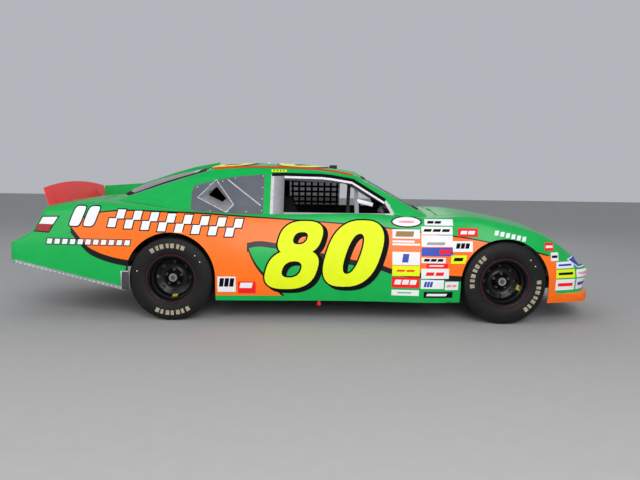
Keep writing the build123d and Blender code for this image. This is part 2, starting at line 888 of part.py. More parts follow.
# Exhaust under the floor
with BuildPart() as exhaust:
    for s in (-1, 1):
        with Locations(((mid_front_x + mid_rear_x) / 2, s * 330, 240)):
            Cylinder(36, mid_front_x - mid_rear_x - 152, rotation=(0, 90, 0))
save(driveline.part + exhaust.part, "driveline")

# Front suspension: arms, springs and the pins that the knuckles turn on
arm_low_z = 240.0
arm_high_z = 470.0
pin_length = 24.0
with BuildPart() as front_suspension:
    for s in (-1, 1):
        for z, wide, top in ((arm_low_z - 25, 100, arm_low_z), (arm_high_z, 60, arm_high_z + 22)):
            with BuildSketch(Plane.XY.offset(z)):
                with BuildLine():
                    Polyline(
                        (front_axle_x - wide, s * (front_rail_y - half_rail)),
                        (front_axle_x + wide, s * (front_rail_y - half_rail)),
                        (front_axle_x + wide, s * (front_rail_y + half_rail)),
                        (front_axle_x + 20, s * (kingpin_y + 16)),
                        (front_axle_x - 20, s * (kingpin_y + 16)),
                        (front_axle_x - wide, s * (front_rail_y + half_rail)),
                        close=True,
                    )
                make_face()
            extrude(amount=top - z)
        with Locations((front_axle_x, s * front_rail_y, (front_rail_low + 100 + arm_high_z) / 2)):
            Box(80, rail_width, arm_high_z - front_rail_low - 100)
        with Locations((front_axle_x, s * kingpin_y, arm_low_z + (pin_length + moving_gap) / 2)):
            Cylinder(pivot_pin, pin_length + moving_gap)
        with Locations((front_axle_x, s * kingpin_y, arm_high_z - (pin_length + moving_gap) / 2)):
            Cylinder(pivot_pin, pin_length + moving_gap)
save(front_suspension.part, "front_suspension")

link_z = 224.0
arm_z = 246.0
arm_height = 18.0
for side, s in (("left", 1), ("right", -1)):
    with BuildPart() as knuckle:
        low = arm_low_z + moving_gap
        high = arm_high_z - moving_gap
        with Locations((front_axle_x, s * kingpin_y, (low + high) / 2)):
            Cylinder(22, high - low)
        with Locations((front_axle_x, s * (kingpin_y + wheel_y + spindle_end) / 2, hub_height)):
            Cylinder(spindle_radius, wheel_y + spindle_end - kingpin_y, rotation=(90, 0, 0))
        with Locations((front_axle_x - steering_arm / 2, s * kingpin_y, arm_z + arm_height / 2)):
            Box(steering_arm, 32, arm_height)
        with Locations((front_axle_x - steering_arm, s * kingpin_y, arm_z + arm_height / 2)):
            Cylinder(16, arm_height)
            Cylinder(link_pin + pin_gap, arm_height, mode=Mode.SUBTRACT)
        for z in (low + (pin_length + 6) / 2, high - (pin_length + 6) / 2):
            with Locations((front_axle_x, s * kingpin_y, z)):
                Cylinder(pivot_pin + pin_gap, pin_length + 6, mode=Mode.SUBTRACT)
    save(knuckle.part, f"knuckle_{side}")

for name, s in (("pitman_arm", 1), ("idler_arm", -1)):
    with BuildPart() as arm:
        with Locations((front_axle_x - steering_arm / 2, s * pivot_y, arm_z + arm_height / 2)):
            Box(steering_arm, 34, arm_height)
        for x in (front_axle_x, front_axle_x - steering_arm):
            with Locations((x, s * pivot_y, arm_z + arm_height / 2)):
                Cylinder(17, arm_height)
        for x, pin in ((front_axle_x, pivot_pin), (front_axle_x - steering_arm, link_pin)):
            with Locations((x, s * pivot_y, arm_z + arm_height / 2)):
                Cylinder(pin + pin_gap, arm_height, mode=Mode.SUBTRACT)
    save(arm.part, name)

with BuildPart() as steering_link:
    with Locations((front_axle_x - steering_arm, 0, link_z)):
        Cylinder(10, 2 * kingpin_y + 24, rotation=(90, 0, 0))
    for y in (-kingpin_y, -pivot_y, pivot_y, kingpin_y):
        with Locations((front_axle_x - steering_arm, y, (link_z + arm_z + arm_height) / 2)):
            Cylinder(link_pin, arm_z + arm_height - link_z)
save(steering_link.part, "steering_link")

# Wheels
bead_half = 120.0
disc_in = 34.0
hole_count = 8
for name, x, s in (
    ("front_left", front_axle_x, 1),
    ("front_right", front_axle_x, -1),
    ("rear_left", rear_axle_x, 1),
    ("rear_right", rear_axle_x, -1),
):
    wheel_plane = Plane(origin=(x, s * wheel_y, hub_height), x_dir=(0, s, 0), z_dir=(s, 0, 0))
    wheel_axis = Axis((x, 0, hub_height), (0, 1, 0))
    half = tyre_width / 2
    with BuildPart() as tyre:
        with BuildSketch(wheel_plane):
            with BuildLine():
                Polyline(
                    (-half + 12, 210),
                    (-bead_half, rim_radius + flange_height + 0.5),
                    (-bead_half, rim_radius),
                    (bead_half, rim_radius),
                    (bead_half, rim_radius + flange_height + 0.5),
                    (half - 12, 210),
                )
                ThreePointArc((half - 12, 210), (half, 268), (half - 14, tyre_radius - 18))
                ThreePointArc(
                    (half - 14, tyre_radius - 18), (half - 21, tyre_radius - 8), (half - 34, tyre_radius - 4)
                )
                ThreePointArc((half - 34, tyre_radius - 4), (0, tyre_radius), (34 - half, tyre_radius - 4))
                ThreePointArc(
                    (34 - half, tyre_radius - 4), (21 - half, tyre_radius - 8), (14 - half, tyre_radius - 18)
                )
                ThreePointArc((14 - half, tyre_radius - 18), (-half, 268), (12 - half, 210))
            make_face()
        revolve(axis=wheel_axis)
    save(tyre.part, f"tyre_{name}")
    with BuildPart() as rim:
        edge = rim_width / 2
        well = rim_radius - 22
        with BuildSketch(wheel_plane):
            with BuildLine():
                Polyline(
                    (-edge, rim_radius + flange_height),
                    (-bead_half, rim_radius + flange_height),
                    (-bead_half, rim_radius),
                    (-55, rim_radius),
                    (-38, well),
                    (40, well),
                    (57, rim_radius),
                    (bead_half, rim_radius),
                    (bead_half, rim_radius + flange_height),
                    (edge, rim_radius + flange_height),
                    (edge, rim_radius - rim_wall),
                    (60, rim_radius - rim_wall),
                    (43, well - rim_wall),
                    (2, well - rim_wall),
                    (disc_in - 60, 108),
                    (disc_in - 60, hub_radius),
                    (hub_out, hub_radius),
                    (hub_out, 0),
                    (spindle_end + moving_gap, 0),
                    (spindle_end + moving_gap, spindle_radius + pin_gap),
                    (-hub_in, spindle_radius + pin_gap),
                    (-hub_in, hub_radius),
                    (-disc_in, hub_radius),
                    (-disc_in, 110),
                    (-5, well - rim_wall),
                    (-41, well - rim_wall),
                    (-58, rim_radius - rim_wall),
                    (-edge, rim_radius - rim_wall),
                    close=True,
                )
            make_face()
        revolve(axis=wheel_axis)
        with Locations(Plane(origin=(x, s * wheel_y, hub_height), x_dir=(1, 0, 0), z_dir=(0, s, 0))):
            with PolarLocations(130, hole_count):
                Cylinder(17, 120, mode=Mode.SUBTRACT)
    save(rim.part, f"rim_{name}")
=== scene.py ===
"""The stock car's looks, built round the CAD frame: paint, decals, glass, tyres, cabin, camera and light."""

import json
import math
from functools import reduce

import bmesh
import bpy
from mathutils import Matrix, Vector
from mathutils.bvhtree import BVHTree

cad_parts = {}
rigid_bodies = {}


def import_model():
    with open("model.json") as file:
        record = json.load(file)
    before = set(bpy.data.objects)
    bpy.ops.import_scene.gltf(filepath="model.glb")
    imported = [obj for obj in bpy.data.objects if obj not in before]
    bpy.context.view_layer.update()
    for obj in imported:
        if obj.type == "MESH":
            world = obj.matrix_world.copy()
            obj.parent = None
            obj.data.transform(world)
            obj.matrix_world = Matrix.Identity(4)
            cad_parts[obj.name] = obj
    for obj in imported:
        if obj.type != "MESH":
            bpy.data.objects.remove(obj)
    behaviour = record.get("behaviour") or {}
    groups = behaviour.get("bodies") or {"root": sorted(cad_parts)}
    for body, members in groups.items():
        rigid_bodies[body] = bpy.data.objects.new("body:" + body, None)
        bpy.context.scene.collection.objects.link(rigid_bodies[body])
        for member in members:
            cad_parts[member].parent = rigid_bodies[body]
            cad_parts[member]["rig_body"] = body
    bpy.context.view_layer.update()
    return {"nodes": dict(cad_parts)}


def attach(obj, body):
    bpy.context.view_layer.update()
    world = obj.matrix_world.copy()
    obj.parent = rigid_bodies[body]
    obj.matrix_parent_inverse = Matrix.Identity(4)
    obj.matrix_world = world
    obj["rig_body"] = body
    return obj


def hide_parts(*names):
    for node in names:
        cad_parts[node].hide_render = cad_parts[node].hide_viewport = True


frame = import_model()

# Axles, hubs and tyres, where the CAD has them
front_axle = 1.632
rear_axle = -1.162
hub_z = 0.351
wheel_y = 0.77
tyre_face = 0.915


# Materials
def wired(tree, value, socket):
    """Link a socket, or set a plain value."""
    if isinstance(value, bpy.types.NodeSocket):
        tree.links.new(value, socket)
    else:
        socket.default_value = value


def node(tree, kind, inputs=None, **settings):
    """A shader node with these settings, and with its inputs set or linked."""
    made = tree.nodes.new(kind)
    for key, value in settings.items():
        setattr(made, key, value)
    for key, value in (inputs or {}).items():
        wired(tree, value, made.inputs[key])
    return made


def finish(
    name, colour, rough=0.5, metal=0.0, coat=0.0, alpha=1.0,
    vary=0.08, grain=9.0, bump=0.0, fine=300.0, shine=0.35,
):
    """A finish with uneven colour and gloss, and a fine bump. Colour may be a function of the node tree."""
    m = bpy.data.materials.new(name)
    m.use_nodes = True
    t = m.node_tree
    where = node(t, "ShaderNodeTexCoord").outputs["Object"]
    clouds = node(t, "ShaderNodeTexNoise", {"Scale": grain, "Detail": 5.0, "Vector": where}).outputs["Fac"]
    tones = {"Value": clouds, "From Min": 0.3, "From Max": 0.7, "To Min": 1.0 - vary, "To Max": 1.0 + vary}
    tone = node(t, "ShaderNodeMapRange", tones).outputs[0]
    base = colour(t) if callable(colour) else (*colour, 1)
    layers = {"Factor": 1.0, "A": base, "B": tone}
    shade = node(t, "ShaderNodeMix", layers, data_type="RGBA", blend_type="MULTIPLY").outputs["Result"]
    polish = {"Value": clouds, "To Min": rough * 0.8, "To Max": min(1.0, rough * 1.2)}
    gloss = node(t, "ShaderNodeMapRange", polish).outputs[0]
    values = {
        "Base Color": shade, "Roughness": gloss, "Metallic": metal, "Alpha": alpha,
        "Coat Weight": coat, "Coat Roughness": 0.08, "Specular IOR Level": shine,
    }
    if bump:
        speck = node(t, "ShaderNodeTexNoise", {"Scale": fine, "Detail": 2.0, "Vector": where}).outputs["Fac"]
        relief = {"Strength": bump, "Distance": 0.002, "Height": speck}
        values["Normal"] = node(t, "ShaderNodeBump", relief).outputs[0]
    for key, value in values.items():
        wired(t, value, t.nodes["Principled BSDF"].inputs[key])
    return m


GREEN = (0.005, 0.40, 0.075)
ORANGE = (0.97, 0.165, 0.009)
YELLOW = (0.74, 0.87, 0.012)
RED = (0.88, 0.016, 0.018)
BLACK = (0.004, 0.004, 0.006)
WHITE = (0.82, 0.82, 0.84)
BLUE = (0.02, 0.05, 0.42)
BROWN = (0.32, 0.14, 0.03)
GREY = (0.3, 0.31, 0.32)
PINK = (0.8, 0.3, 0.42)
# Window frame colours: a light grey, a painted shade for the pillar, a painted highlight for the ends and a
# painted shadow over the door openings
FRAME_LIGHT = (0.34, 0.33, 0.355)
FRAME_SHADE = (0.17, 0.17, 0.185)
FRAME_PAINTED_HIGHLIGHT = (0.58, 0.57, 0.60)
FRAME_PAINTED_SHADOW = (0.012, 0.012, 0.014)

green = finish("green_paint", GREEN, 0.35, coat=0.05, vary=0.05, bump=0.02, shine=0.25)
roof_green = finish("roof_green", GREEN, 0.5, vary=0.05, bump=0.02, shine=0.08)
orange = finish("orange_paint", ORANGE, 0.5, vary=0.04, bump=0.02, shine=0.1)
# The roof stripe's orange is darker than the side paint: painted shade on the roof
roof_orange = finish("roof_orange", (0.78, 0.062, 0.006), 0.8, vary=0.04, bump=0.02, shine=0.02)
yellow = finish("yellow_vinyl", YELLOW, 0.5, vary=0.03, bump=0.02, shine=0.15)
red = finish("red_paint", RED, 0.5, vary=0.05, bump=0.02, shine=0.1)
# The spoiler's red is brighter than the red paint: painted light on the spoiler
spoiler_red = finish("spoiler_red", (1.0, 0.034, 0.034), 0.45, vary=0.05, bump=0.02, shine=0.15)
lamp_red_vinyl = finish("lamp_red_vinyl", (0.36, 0.008, 0.02), 0.4, vary=0.1, bump=0.02)
black = finish("black_vinyl", BLACK, 0.6, vary=0.2, bump=0.02, shine=0.06)
white = finish("white_vinyl", WHITE, 0.45, vary=0.03, bump=0.02)
blue = finish("blue_vinyl", BLUE, 0.45, vary=0.05, bump=0.02)
brown = finish("brown_vinyl", BROWN, 0.45, vary=0.05, bump=0.02)
grey = finish("grey_vinyl", GREY, 0.45, vary=0.05, bump=0.02)
pink = finish("pink_vinyl", PINK, 0.45, vary=0.05, bump=0.02)
dark_red = finish("dark_red_line", (0.16, 0.01, 0.03), 0.4, vary=0.1, bump=0.02)
yellow_dull = finish("wheel_weight", (0.45, 0.36, 0.03), 0.5, vary=0.2, bump=0.05)
lining = finish("dark_primer", (0.014, 0.014, 0.016), 0.8, vary=0.3, grain=7.0, bump=0.1, shine=0.2)
satin_black = finish("satin_black", (0.010, 0.010, 0.012), 0.5, vary=0.25, bump=0.1, shine=0.25)
rim_black = finish("rim_black", (0.004, 0.004, 0.005), 0.3, vary=0.3, bump=0.05, shine=0.25)
rubber = finish("tyre_rubber", (0.0072, 0.0066, 0.0070), 0.6, vary=0.25, grain=14.0, bump=0.15, shine=0.24)
cream = finish("tyre_marking", (0.36, 0.31, 0.22), 0.75, vary=0.3, grain=90.0, bump=0.1, shine=0.2)
dark_steel = finish("dark_steel", (0.12, 0.115, 0.11), 0.4, 1.0, vary=0.2, grain=40.0, bump=0.1)
steel = finish("bare_steel", (0.36, 0.35, 0.34), 0.35, 1.0, vary=0.15, grain=30.0, bump=0.05)
aluminium = finish("aluminium", (0.62, 0.63, 0.65), 0.38, 1.0, vary=0.1, grain=12.0, bump=0.05)
bracket_grey = finish("bracket_grey", (0.055, 0.052, 0.058), 0.5, 0.2, vary=0.15, grain=30.0, bump=0.1)
channel_white = finish("channel_white", (0.78, 0.74, 0.78), 0.4, vary=0.06, grain=30.0, bump=0.05)
rivet_bright = finish("rivet_heads", (0.80, 0.80, 0.82), 0.35, 0.4, vary=0.1, grain=60.0, bump=0.05)
foil = finish("foil_tape", (0.55, 0.55, 0.58), 0.4, 0.5, vary=0.25, grain=45.0, bump=0.5, fine=60.0)
sheet_grey = finish("grey_sheet", (0.105, 0.115, 0.135), 0.4, vary=0.12, grain=5.0, bump=0.05, shine=0.4)
cage_paint = finish("cage_paint", (0.36, 0.36, 0.38), 0.45, vary=0.06, bump=0.05)
frame_paint = finish("frame_paint", (0.02, 0.02, 0.023), 0.5, vary=0.3, grain=14.0, bump=0.15)
cast = finish("cast_metal", (0.13, 0.125, 0.12), 0.6, 0.6, vary=0.2, grain=25.0, bump=0.4, fine=200.0)
glass = finish("clear_plastic", (0.16, 0.18, 0.18), 0.08, alpha=0.34, vary=0.05, shine=0.5)
smoked = finish("smoked_plastic", (0.30, 0.275, 0.28), 0.10, alpha=0.82, vary=0.10, shine=0.7)
seat_cover = finish(
    "seat_cover", (0.022, 0.022, 0.025), 0.7, vary=0.2, grain=20.0, bump=0.3, fine=500.0, shine=0.2
)
webbing = finish("webbing", (0.012, 0.012, 0.014), 0.85, vary=0.3, bump=0.4, fine=700.0, shine=0.2)
net_mesh = finish(
    "net_mesh", (0.012, 0.012, 0.014), 0.9, alpha=0.55, vary=0.3, bump=0.4, fine=700.0, shine=0.1
)


# Masks and colours that read a point's place on the car
def car_axes(tree):
    """The x, y and z of a point in the car's frame."""
    where = node(tree, "ShaderNodeTexCoord").outputs["Object"]
    return node(tree, "ShaderNodeSeparateXYZ", {"Vector": where}).outputs


def curve_value(tree, x, points):
    """A curve through (x, z) points, as a height for this x, both in metres."""
    points = sorted(points)
    first, last = points[0][0], points[-1][0]
    along = node(tree, "ShaderNodeMapRange", {"Value": x, "From Min": first, "From Max": last}).outputs[0]
    shape = node(tree, "ShaderNodeFloatCurve", {"Value": along})
    curve = shape.mapping.curves[0]
    for k, (px, pz) in enumerate(points):
        u = (px - first) / (last - first)
        if k < 2:
            curve.points[k].location = (u, pz)
        else:
            curve.points.new(u, pz)
    shape.mapping.update()
    return shape.outputs[0]


def maths(tree, op, a, b=0.0):
    made = node(tree, "ShaderNodeMath", operation=op)
    wired(tree, a, made.inputs[0])
    wired(tree, b, made.inputs[1])
    return made.outputs[0]


def beyond(tree, value, limit):
    return maths(tree, "GREATER_THAN", value, limit)


def within(tree, value, limit):
    return maths(tree, "LESS_THAN", value, limit)


def all_of(tree, *masks):
    return reduce(lambda a, b: maths(tree, "MULTIPLY", a, b), masks)


def any_of(tree, *masks):
    return reduce(lambda a, b: maths(tree, "MAXIMUM", a, b), masks)


def mixed(tree, mask, under, over):
    """One colour over another where the mask is 1."""
    a, b = ((*colour, 1) if isinstance(colour, tuple) else colour for colour in (under, over))
    return node(tree, "ShaderNodeMix", {"Factor": mask, "A": a, "B": b}, data_type="RGBA").outputs["Result"]


# The orange flash on the sides: its edges as (x, z) in metres, and where its parts start and end
flash_top = [
    (-2.02, 0.76), (-1.96, 0.80), (-1.733, 0.895), (-1.1, 0.90), (-0.546, 0.872), (-0.118, 0.848),
    (0.616, 0.796), (0.984, 0.757), (1.3, 0.72), (1.42, 0.70), (1.9, 0.605), (1.98, 0.585), (2.2, 0.54),
    (2.6, 0.5),
]
flash_tail = [(-2.02, 0.80), (-1.952, 0.724), (-1.85, 0.615), (-1.794, 0.583), (-1.674, 0.54), (-1.5, 0.508)]
green_top = [
    (-0.515, 0.62), (-0.44, 0.634), (-0.355, 0.628), (-0.09, 0.578), (0.285, 0.499), (0.569, 0.453),
    (0.687, 0.417), (0.913, 0.39), (1.3, 0.36),
]
green_left = [
    (-0.515, 0.622), (-0.487, 0.556), (-0.437, 0.473), (-0.403, 0.432), (-0.295, 0.315), (-0.17, 0.17),
]
sides_y = 0.5
flash_end_x = -2.0
flash_tail_x = -1.5
flash_nose_x = 1.6
rocker_green_z = 0.224
nose_orange_x = 2.08
nose_lip_z = 0.262
green_start_x = -0.512

# Black edges of the flash: under it at the tail, along its top, and round the green in its middle
tail_edge_width = 0.052
top_edge_width = 0.012
top_edge_start_x, top_edge_end_x = -1.95, 2.0
green_edge_start_x = -0.53
green_edge_over = 0.046
green_edge_under = 0.03


def livery(t):
    """Green with the orange flash along each side and its black edges."""
    x, y, z = car_axes(t)

    def above(points, margin=0.0):
        return beyond(t, maths(t, "ADD", z, margin), curve_value(t, x, points))

    def below(points, margin=0.0):
        return within(t, maths(t, "SUBTRACT", z, margin), curve_value(t, x, points))

    side = any_of(t, beyond(t, maths(t, "ABSOLUTE", y), sides_y), within(t, z, nose_lip_z))
    under_top = below(flash_top)
    tail_zone = all_of(t, within(t, x, flash_tail_x), beyond(t, x, flash_end_x), under_top)
    tail_part = all_of(t, tail_zone, above(flash_tail))
    middle_zone = all_of(
        t, beyond(t, x, flash_tail_x), within(t, x, flash_nose_x), beyond(t, z, rocker_green_z), under_top
    )
    green_part = all_of(t, beyond(t, x, green_start_x), below(green_top), above(green_left))
    green_and_edge = all_of(
        t, beyond(t, x, green_edge_start_x),
        below(green_top, green_edge_over), above(green_left, green_edge_under),
    )
    middle_part = all_of(t, middle_zone, maths(t, "SUBTRACT", 1.0, green_and_edge))
    nose_zone = any_of(t, within(t, x, nose_orange_x), within(t, z, nose_lip_z))
    nose_part = all_of(t, beyond(t, x, flash_nose_x), under_top, nose_zone)
    middle_edge = all_of(t, middle_zone, maths(t, "SUBTRACT", 1.0, green_part), green_and_edge)
    tail_edge = all_of(t, tail_zone, above(flash_tail, tail_edge_width), below(flash_tail))
    top_edge = all_of(
        t, below(flash_top, top_edge_width), above(flash_top),
        beyond(t, x, top_edge_start_x), within(t, x, top_edge_end_x),
    )
    orange_mask = all_of(t, any_of(t, tail_part, middle_part, nose_part), side)
    black_mask = all_of(t, any_of(t, middle_edge, tail_edge, top_edge), side)
    return mixed(t, black_mask, mixed(t, orange_mask, GREEN, ORANGE), BLACK)


# The window frames: the top edge of their openings, and where their painted shade and painted highlights
# change along the car
opening_top = [(-0.236, 1.214), (0.085, 1.209), (0.168, 1.201), (0.348, 1.173), (0.622, 1.006)]
pillar_light_x, pillar_shade_x = -0.325, -0.245
pillar_end_x = -0.232
highlight_rear_x = -0.326
highlight_front_x = 0.628


def frame_colours(t):
    """Light window frames with painted shade on the pillar, painted highlights at the ends and a painted
    shadow band over the opening.
    """
    x, y, z = car_axes(t)
    fade = {"Value": x, "From Min": pillar_light_x, "From Max": pillar_shade_x}
    pillar = mixed(t, node(t, "ShaderNodeMapRange", fade).outputs[0], FRAME_LIGHT, FRAME_SHADE)
    metal = mixed(t, beyond(t, x, pillar_end_x), pillar, FRAME_LIGHT)
    highlight_mask = any_of(t, within(t, x, highlight_rear_x), beyond(t, x, highlight_front_x))
    over_opening = beyond(t, z, curve_value(t, x, opening_top))
    shadow_mask = all_of(t, over_opening, beyond(t, x, opening_top[0][0]), within(t, x, opening_top[-1][0]))
    return mixed(t, shadow_mask, mixed(t, highlight_mask, metal, FRAME_PAINTED_HIGHLIGHT), FRAME_PAINTED_SHADOW)


race_paint = finish("race_livery", livery, 0.35, coat=0.05, vary=0.05, bump=0.02, shine=0.25)
frame_metal = finish("window_frame_metal", frame_colours, 0.45, vary=0.12, grain=25.0, bump=0.05)


# A line along the car's middle, which the inner faces of its body look to
spine_end, spine_z = 1.9, 0.55


def finish_mesh(bm, name, body, materials, smooth):
    """Make the bmesh an object that rides on this body, smooth up to this angle in degrees."""
    mesh = bpy.data.meshes.new(name)
    bm.to_mesh(mesh)
    bm.free()
    if smooth:
        mesh.shade_smooth()
        mesh.set_sharp_from_angle(angle=math.radians(smooth))
    for material in materials:
        mesh.materials.append(material)
    obj = bpy.data.objects.new(name, mesh)
    bpy.context.scene.collection.objects.link(obj)
    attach(obj, body)
    return obj


def added(bm, name, body, material, smooth=30):
    """A piece that the CAD doesn't have, with the material slot that it takes its finish from."""
    obj = finish_mesh(bm, name, body, [material], smooth)


def looks_inward(face):
    """True where a face of the body looks to the middle of the car."""
    centre = face.calc_center_median()
    middle = Vector((max(-spine_end, min(spine_end, centre.x)), 0, spine_z))
    return face.normal.dot(centre - middle) < 0


def skin(name, material, smooth=30, inner=None):
    """A welded, smooth-shaded copy of a CAD node that stands for it; inner is the finish of its inside."""
    source = frame["nodes"][name]
    bm = bmesh.new()
    bm.from_mesh(source.data)
    bmesh.ops.remove_doubles(bm, verts=bm.verts, dist=2e-5)
    bmesh.ops.dissolve_degenerate(bm, edges=bm.edges, dist=1e-6)
    materials = [material]
    if inner:
        materials.append(inner)
        bm.normal_update()
        for face in bm.faces:
            face.material_index = int(looks_inward(face))
    obj = finish_mesh(bm, name + "_finished", source["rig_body"], materials, smooth)
    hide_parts(name)


def surface(*names):
    """A ray target made of these CAD nodes."""
    points, faces = [], []
    for name in names:
        mesh = frame["nodes"][name].data
        start = len(points)
        points += [v.co.copy() for v in mesh.vertices]
        faces += [[start + i for i in p.vertices] for p in mesh.polygons]
    return BVHTree.FromPolygons(points, faces)


PAIRED_PANELS = [f"{panel}_{side}" for panel in ("fender", "door", "quarter") for side in ("left", "right")]
side_panels = surface("nose", "front_valance", *PAIRED_PANELS, "tail")
house_panels = surface("posts", "roof", "quarter_sheets", "window_frames")
roof_panel = surface("roof")

# Views that vinyl is drawn in: the place outside the car over (u, v), and the way that the surface looks
VIEWS = {
    "right": (lambda u, v: Vector((u, -3, v)), Vector((0, -1, 0))),
    "left": (lambda u, v: Vector((u, 3, v)), Vector((0, 1, 0))),
    "top": (lambda u, v: Vector((u, v, 3)), Vector((0, 0, 1))),
    "front": (lambda u, v: Vector((5, u, v)), Vector((1, 0, 0))),
}
SIDES = ("right", "left")


def place(target, view, u, v, lift=0.0):
    """The point this far over the surface, where a view sees (u, v), or None beside the surface."""
    outside, outward = VIEWS[view]
    hit, normal, _, _ = target.ray_cast(outside(u, v), -outward)
    if hit is None:
        return None
    if normal.dot(outward) < 0:
        normal = -normal
    return hit + normal * lift


def widened(points, by):
    """The outline with every edge moved outward by this much."""
    ahead = [Vector(p) for p in points[1:] + points[:1]]
    here = [Vector(p) for p in points]
    turn = sum(a.x * b.y - b.x * a.y for a, b in zip(here, ahead))
    way = 1 if turn > 0 else -1
    out = []
    for k, p in enumerate(here):
        to, back = (ahead[k] - p).normalized(), (p - here[k - 1]).normalized()
        side = Vector((to.y + back.y, -to.x - back.x)) * way
        side.normalize()
        reach = by / max(0.4, abs(side.dot(Vector((to.y, -to.x)))))
        out.append(tuple(p + side * reach))
    return out


def absorb(bm, piece):
    """Move the shape of one bmesh into another."""
    mesh = bpy.data.meshes.new("moved")
    piece.to_mesh(mesh)
    piece.free()
    bm.from_mesh(mesh)
    bpy.data.meshes.remove(mesh)


def flat_sheet(outline, hole=None):
    """A flat sheet in u and v; a hole is a second outline with as many points."""
    bm = bmesh.new()
    rings = []
    for loop in (outline, hole) if hole else (outline,):
        corners = [bm.verts.new((u, v, 0)) for u, v in loop]
        rings.append([bm.edges.new((corners[k - 1], corners[k])) for k in range(len(corners))])
    if hole:
        bmesh.ops.bridge_loops(bm, edges=rings[0] + rings[1])
    else:
        bmesh.ops.contextual_create(bm, geom=rings[0])
    return bm


def cut_on_grid(bm, step):
    """Cut a flat sheet into squares, so that it can bend with the surface."""
    for axis, across in enumerate((Vector((1, 0, 0)), Vector((0, 1, 0)))):
        values = [v.co[axis] for v in bm.verts]
        for k in range(math.ceil(min(values) / step), math.ceil(max(values) / step)):
            whole = bm.verts[:] + bm.edges[:] + bm.faces[:]
            bmesh.ops.bisect_plane(bm, geom=whole, plane_co=across * k * step, plane_no=across, dist=1e-6)


def press(bm, target, view, lift):
    """Press a flat sheet on the surface; what lies beside the surface is cut off."""
    beside = []
    for v in bm.verts:
        point = place(target, view, v.co.x, v.co.y, lift)
        if point is None:
            beside.append(v)
        else:
            v.co = point
    bmesh.ops.delete(bm, geom=beside, context="VERTS")
    bmesh.ops.triangulate(bm, faces=bm.faces)
    bm.normal_update()
    outward = VIEWS[view][1]
    bmesh.ops.reverse_faces(bm, faces=[f for f in bm.faces if f.normal.dot(outward) < 0])


stickers = {}  # one bmesh for each body and finish


def vinyl(outline, views, target, material, lift=0.0012, grow=0.0, hole=None, step=0.03, body="chassis"):
    """Thin vinyl on the surface, once for each view; grow widens it, into its hole too."""
    for view in views:
        bm = flat_sheet(widened(outline, grow), widened(hole, -grow) if hole else None)
        cut_on_grid(bm, step)
        press(bm, target, view, lift)
        key = (body, material.name)
        if key not in stickers:
            stickers[key] = bmesh.new()
        absorb(stickers[key], bm)


def edged(outline, edge, lift=0.002, trim=0.0):
    """White vinyl over a wider black edge, on both sides of the car."""
    vinyl(outline, SIDES, side_panels, black, 0.0012, edge)
    vinyl(outline, SIDES, side_panels, white, lift, -trim)


def rect(x0, x1, z0, z1, lean=0.0):
    """Corners of a block; lean moves its top along x."""
    return [(x0, z0), (x1, z0), (x1 + lean, z1), (x0 + lean, z1)]


def oval(cx, cz, a, b, lean=0.0, power=2.0, count=40):
    """A slanted ellipse, or a squarer loop where the power is over 2."""
    out = []
    for k in range(count):
        w = 2 * math.pi * k / count
        c, s = math.cos(w), math.sin(w)
        u = a * math.copysign(abs(c) ** (2 / power), c)
        v = b * math.copysign(abs(s) ** (2 / power), s)
        out.append((cx + u + lean * v, cz + v))
    return out


# Panels in their paint
for name in ("nose", *PAIRED_PANELS, "tail"):
    skin(name, race_paint, inner=lining)
for name in ("hood", "cowl", "filler_panel", "deck_lid", "posts"):
    skin(name, green, inner=lining)
skin("deck_fin", green)
skin("roof", roof_green, inner=lining)
skin("front_valance", orange, inner=lining)
skin("spoiler", spoiler_red)
skin("windscreen", glass)
skin("rear_window", smoked)
skin("quarter_sheets", sheet_grey, inner=lining)
skin("window_frames", frame_metal, inner=lining)
for name, material in (
    ("fuel_filler", aluminium), ("floor_pan", lining), ("frame_rails", frame_paint),
    ("roll_cage", cage_paint), ("engine", cast), ("driveline", cast), ("fuel_cell", satin_black),
    ("radiator", aluminium), ("dashboard", satin_black), ("seat", seat_cover),
    ("steering_wheel", satin_black), ("front_suspension", frame_paint), ("knuckle_left", cast),
    ("knuckle_right", cast), ("pitman_arm", steel), ("idler_arm", steel), ("steering_link", steel),
    ("window_net", net_mesh),
):
    skin(name, material)

# The wheels: label, axle, and 1 on the left or -1 on the right
wheels = [
    ("front_left", front_axle, 1),
    ("front_right", front_axle, -1),
    ("rear_left", rear_axle, 1),
    ("rear_right", rear_axle, -1),
]
for label, _, _ in wheels:
    skin("tyre_" + label, rubber, 40)
    skin("rim_" + label, rim_black, 35)

# Race number: two slanted digits, yellow with a black edge and shadow
digit_lean, hole_lean = 0.30, 0.33
digit_power, hole_power = 2.6, 2.4
digit_edge, shadow_edge = 0.013, 0.014
number_middle = 0.11  # along the car
shadow_back, shadow_down = 0.028, -0.022
rise_step = 0.0006  # from one loop of a digit to the next


def numeral(cx, cz, a, b, ha, hb, view, target, rise=0.0, flip=False):
    """One closed loop of a digit; rise keeps loops that overlap apart, flip is for the left side."""

    def turned(points, dx=0.0, dz=0.0):
        way = -1 if flip else 1
        loop = [(number_middle + way * (x + dx - number_middle), z + dz) for x, z in points]
        return loop[::-1] if flip else loop

    outer = oval(cx, cz, a, b, digit_lean, digit_power)
    hole = oval(cx, cz, ha, hb, hole_lean, hole_power)
    drop = (shadow_back, shadow_down)
    vinyl(turned(outer, *drop), (view,), target, black, 0.0012, shadow_edge, turned(hole, *drop))
    vinyl(turned(outer), (view,), target, black, 0.0018 + rise / 2, digit_edge, turned(hole))
    vinyl(turned(outer), (view,), target, yellow, 0.0030 + rise, 0.0, turned(hole))


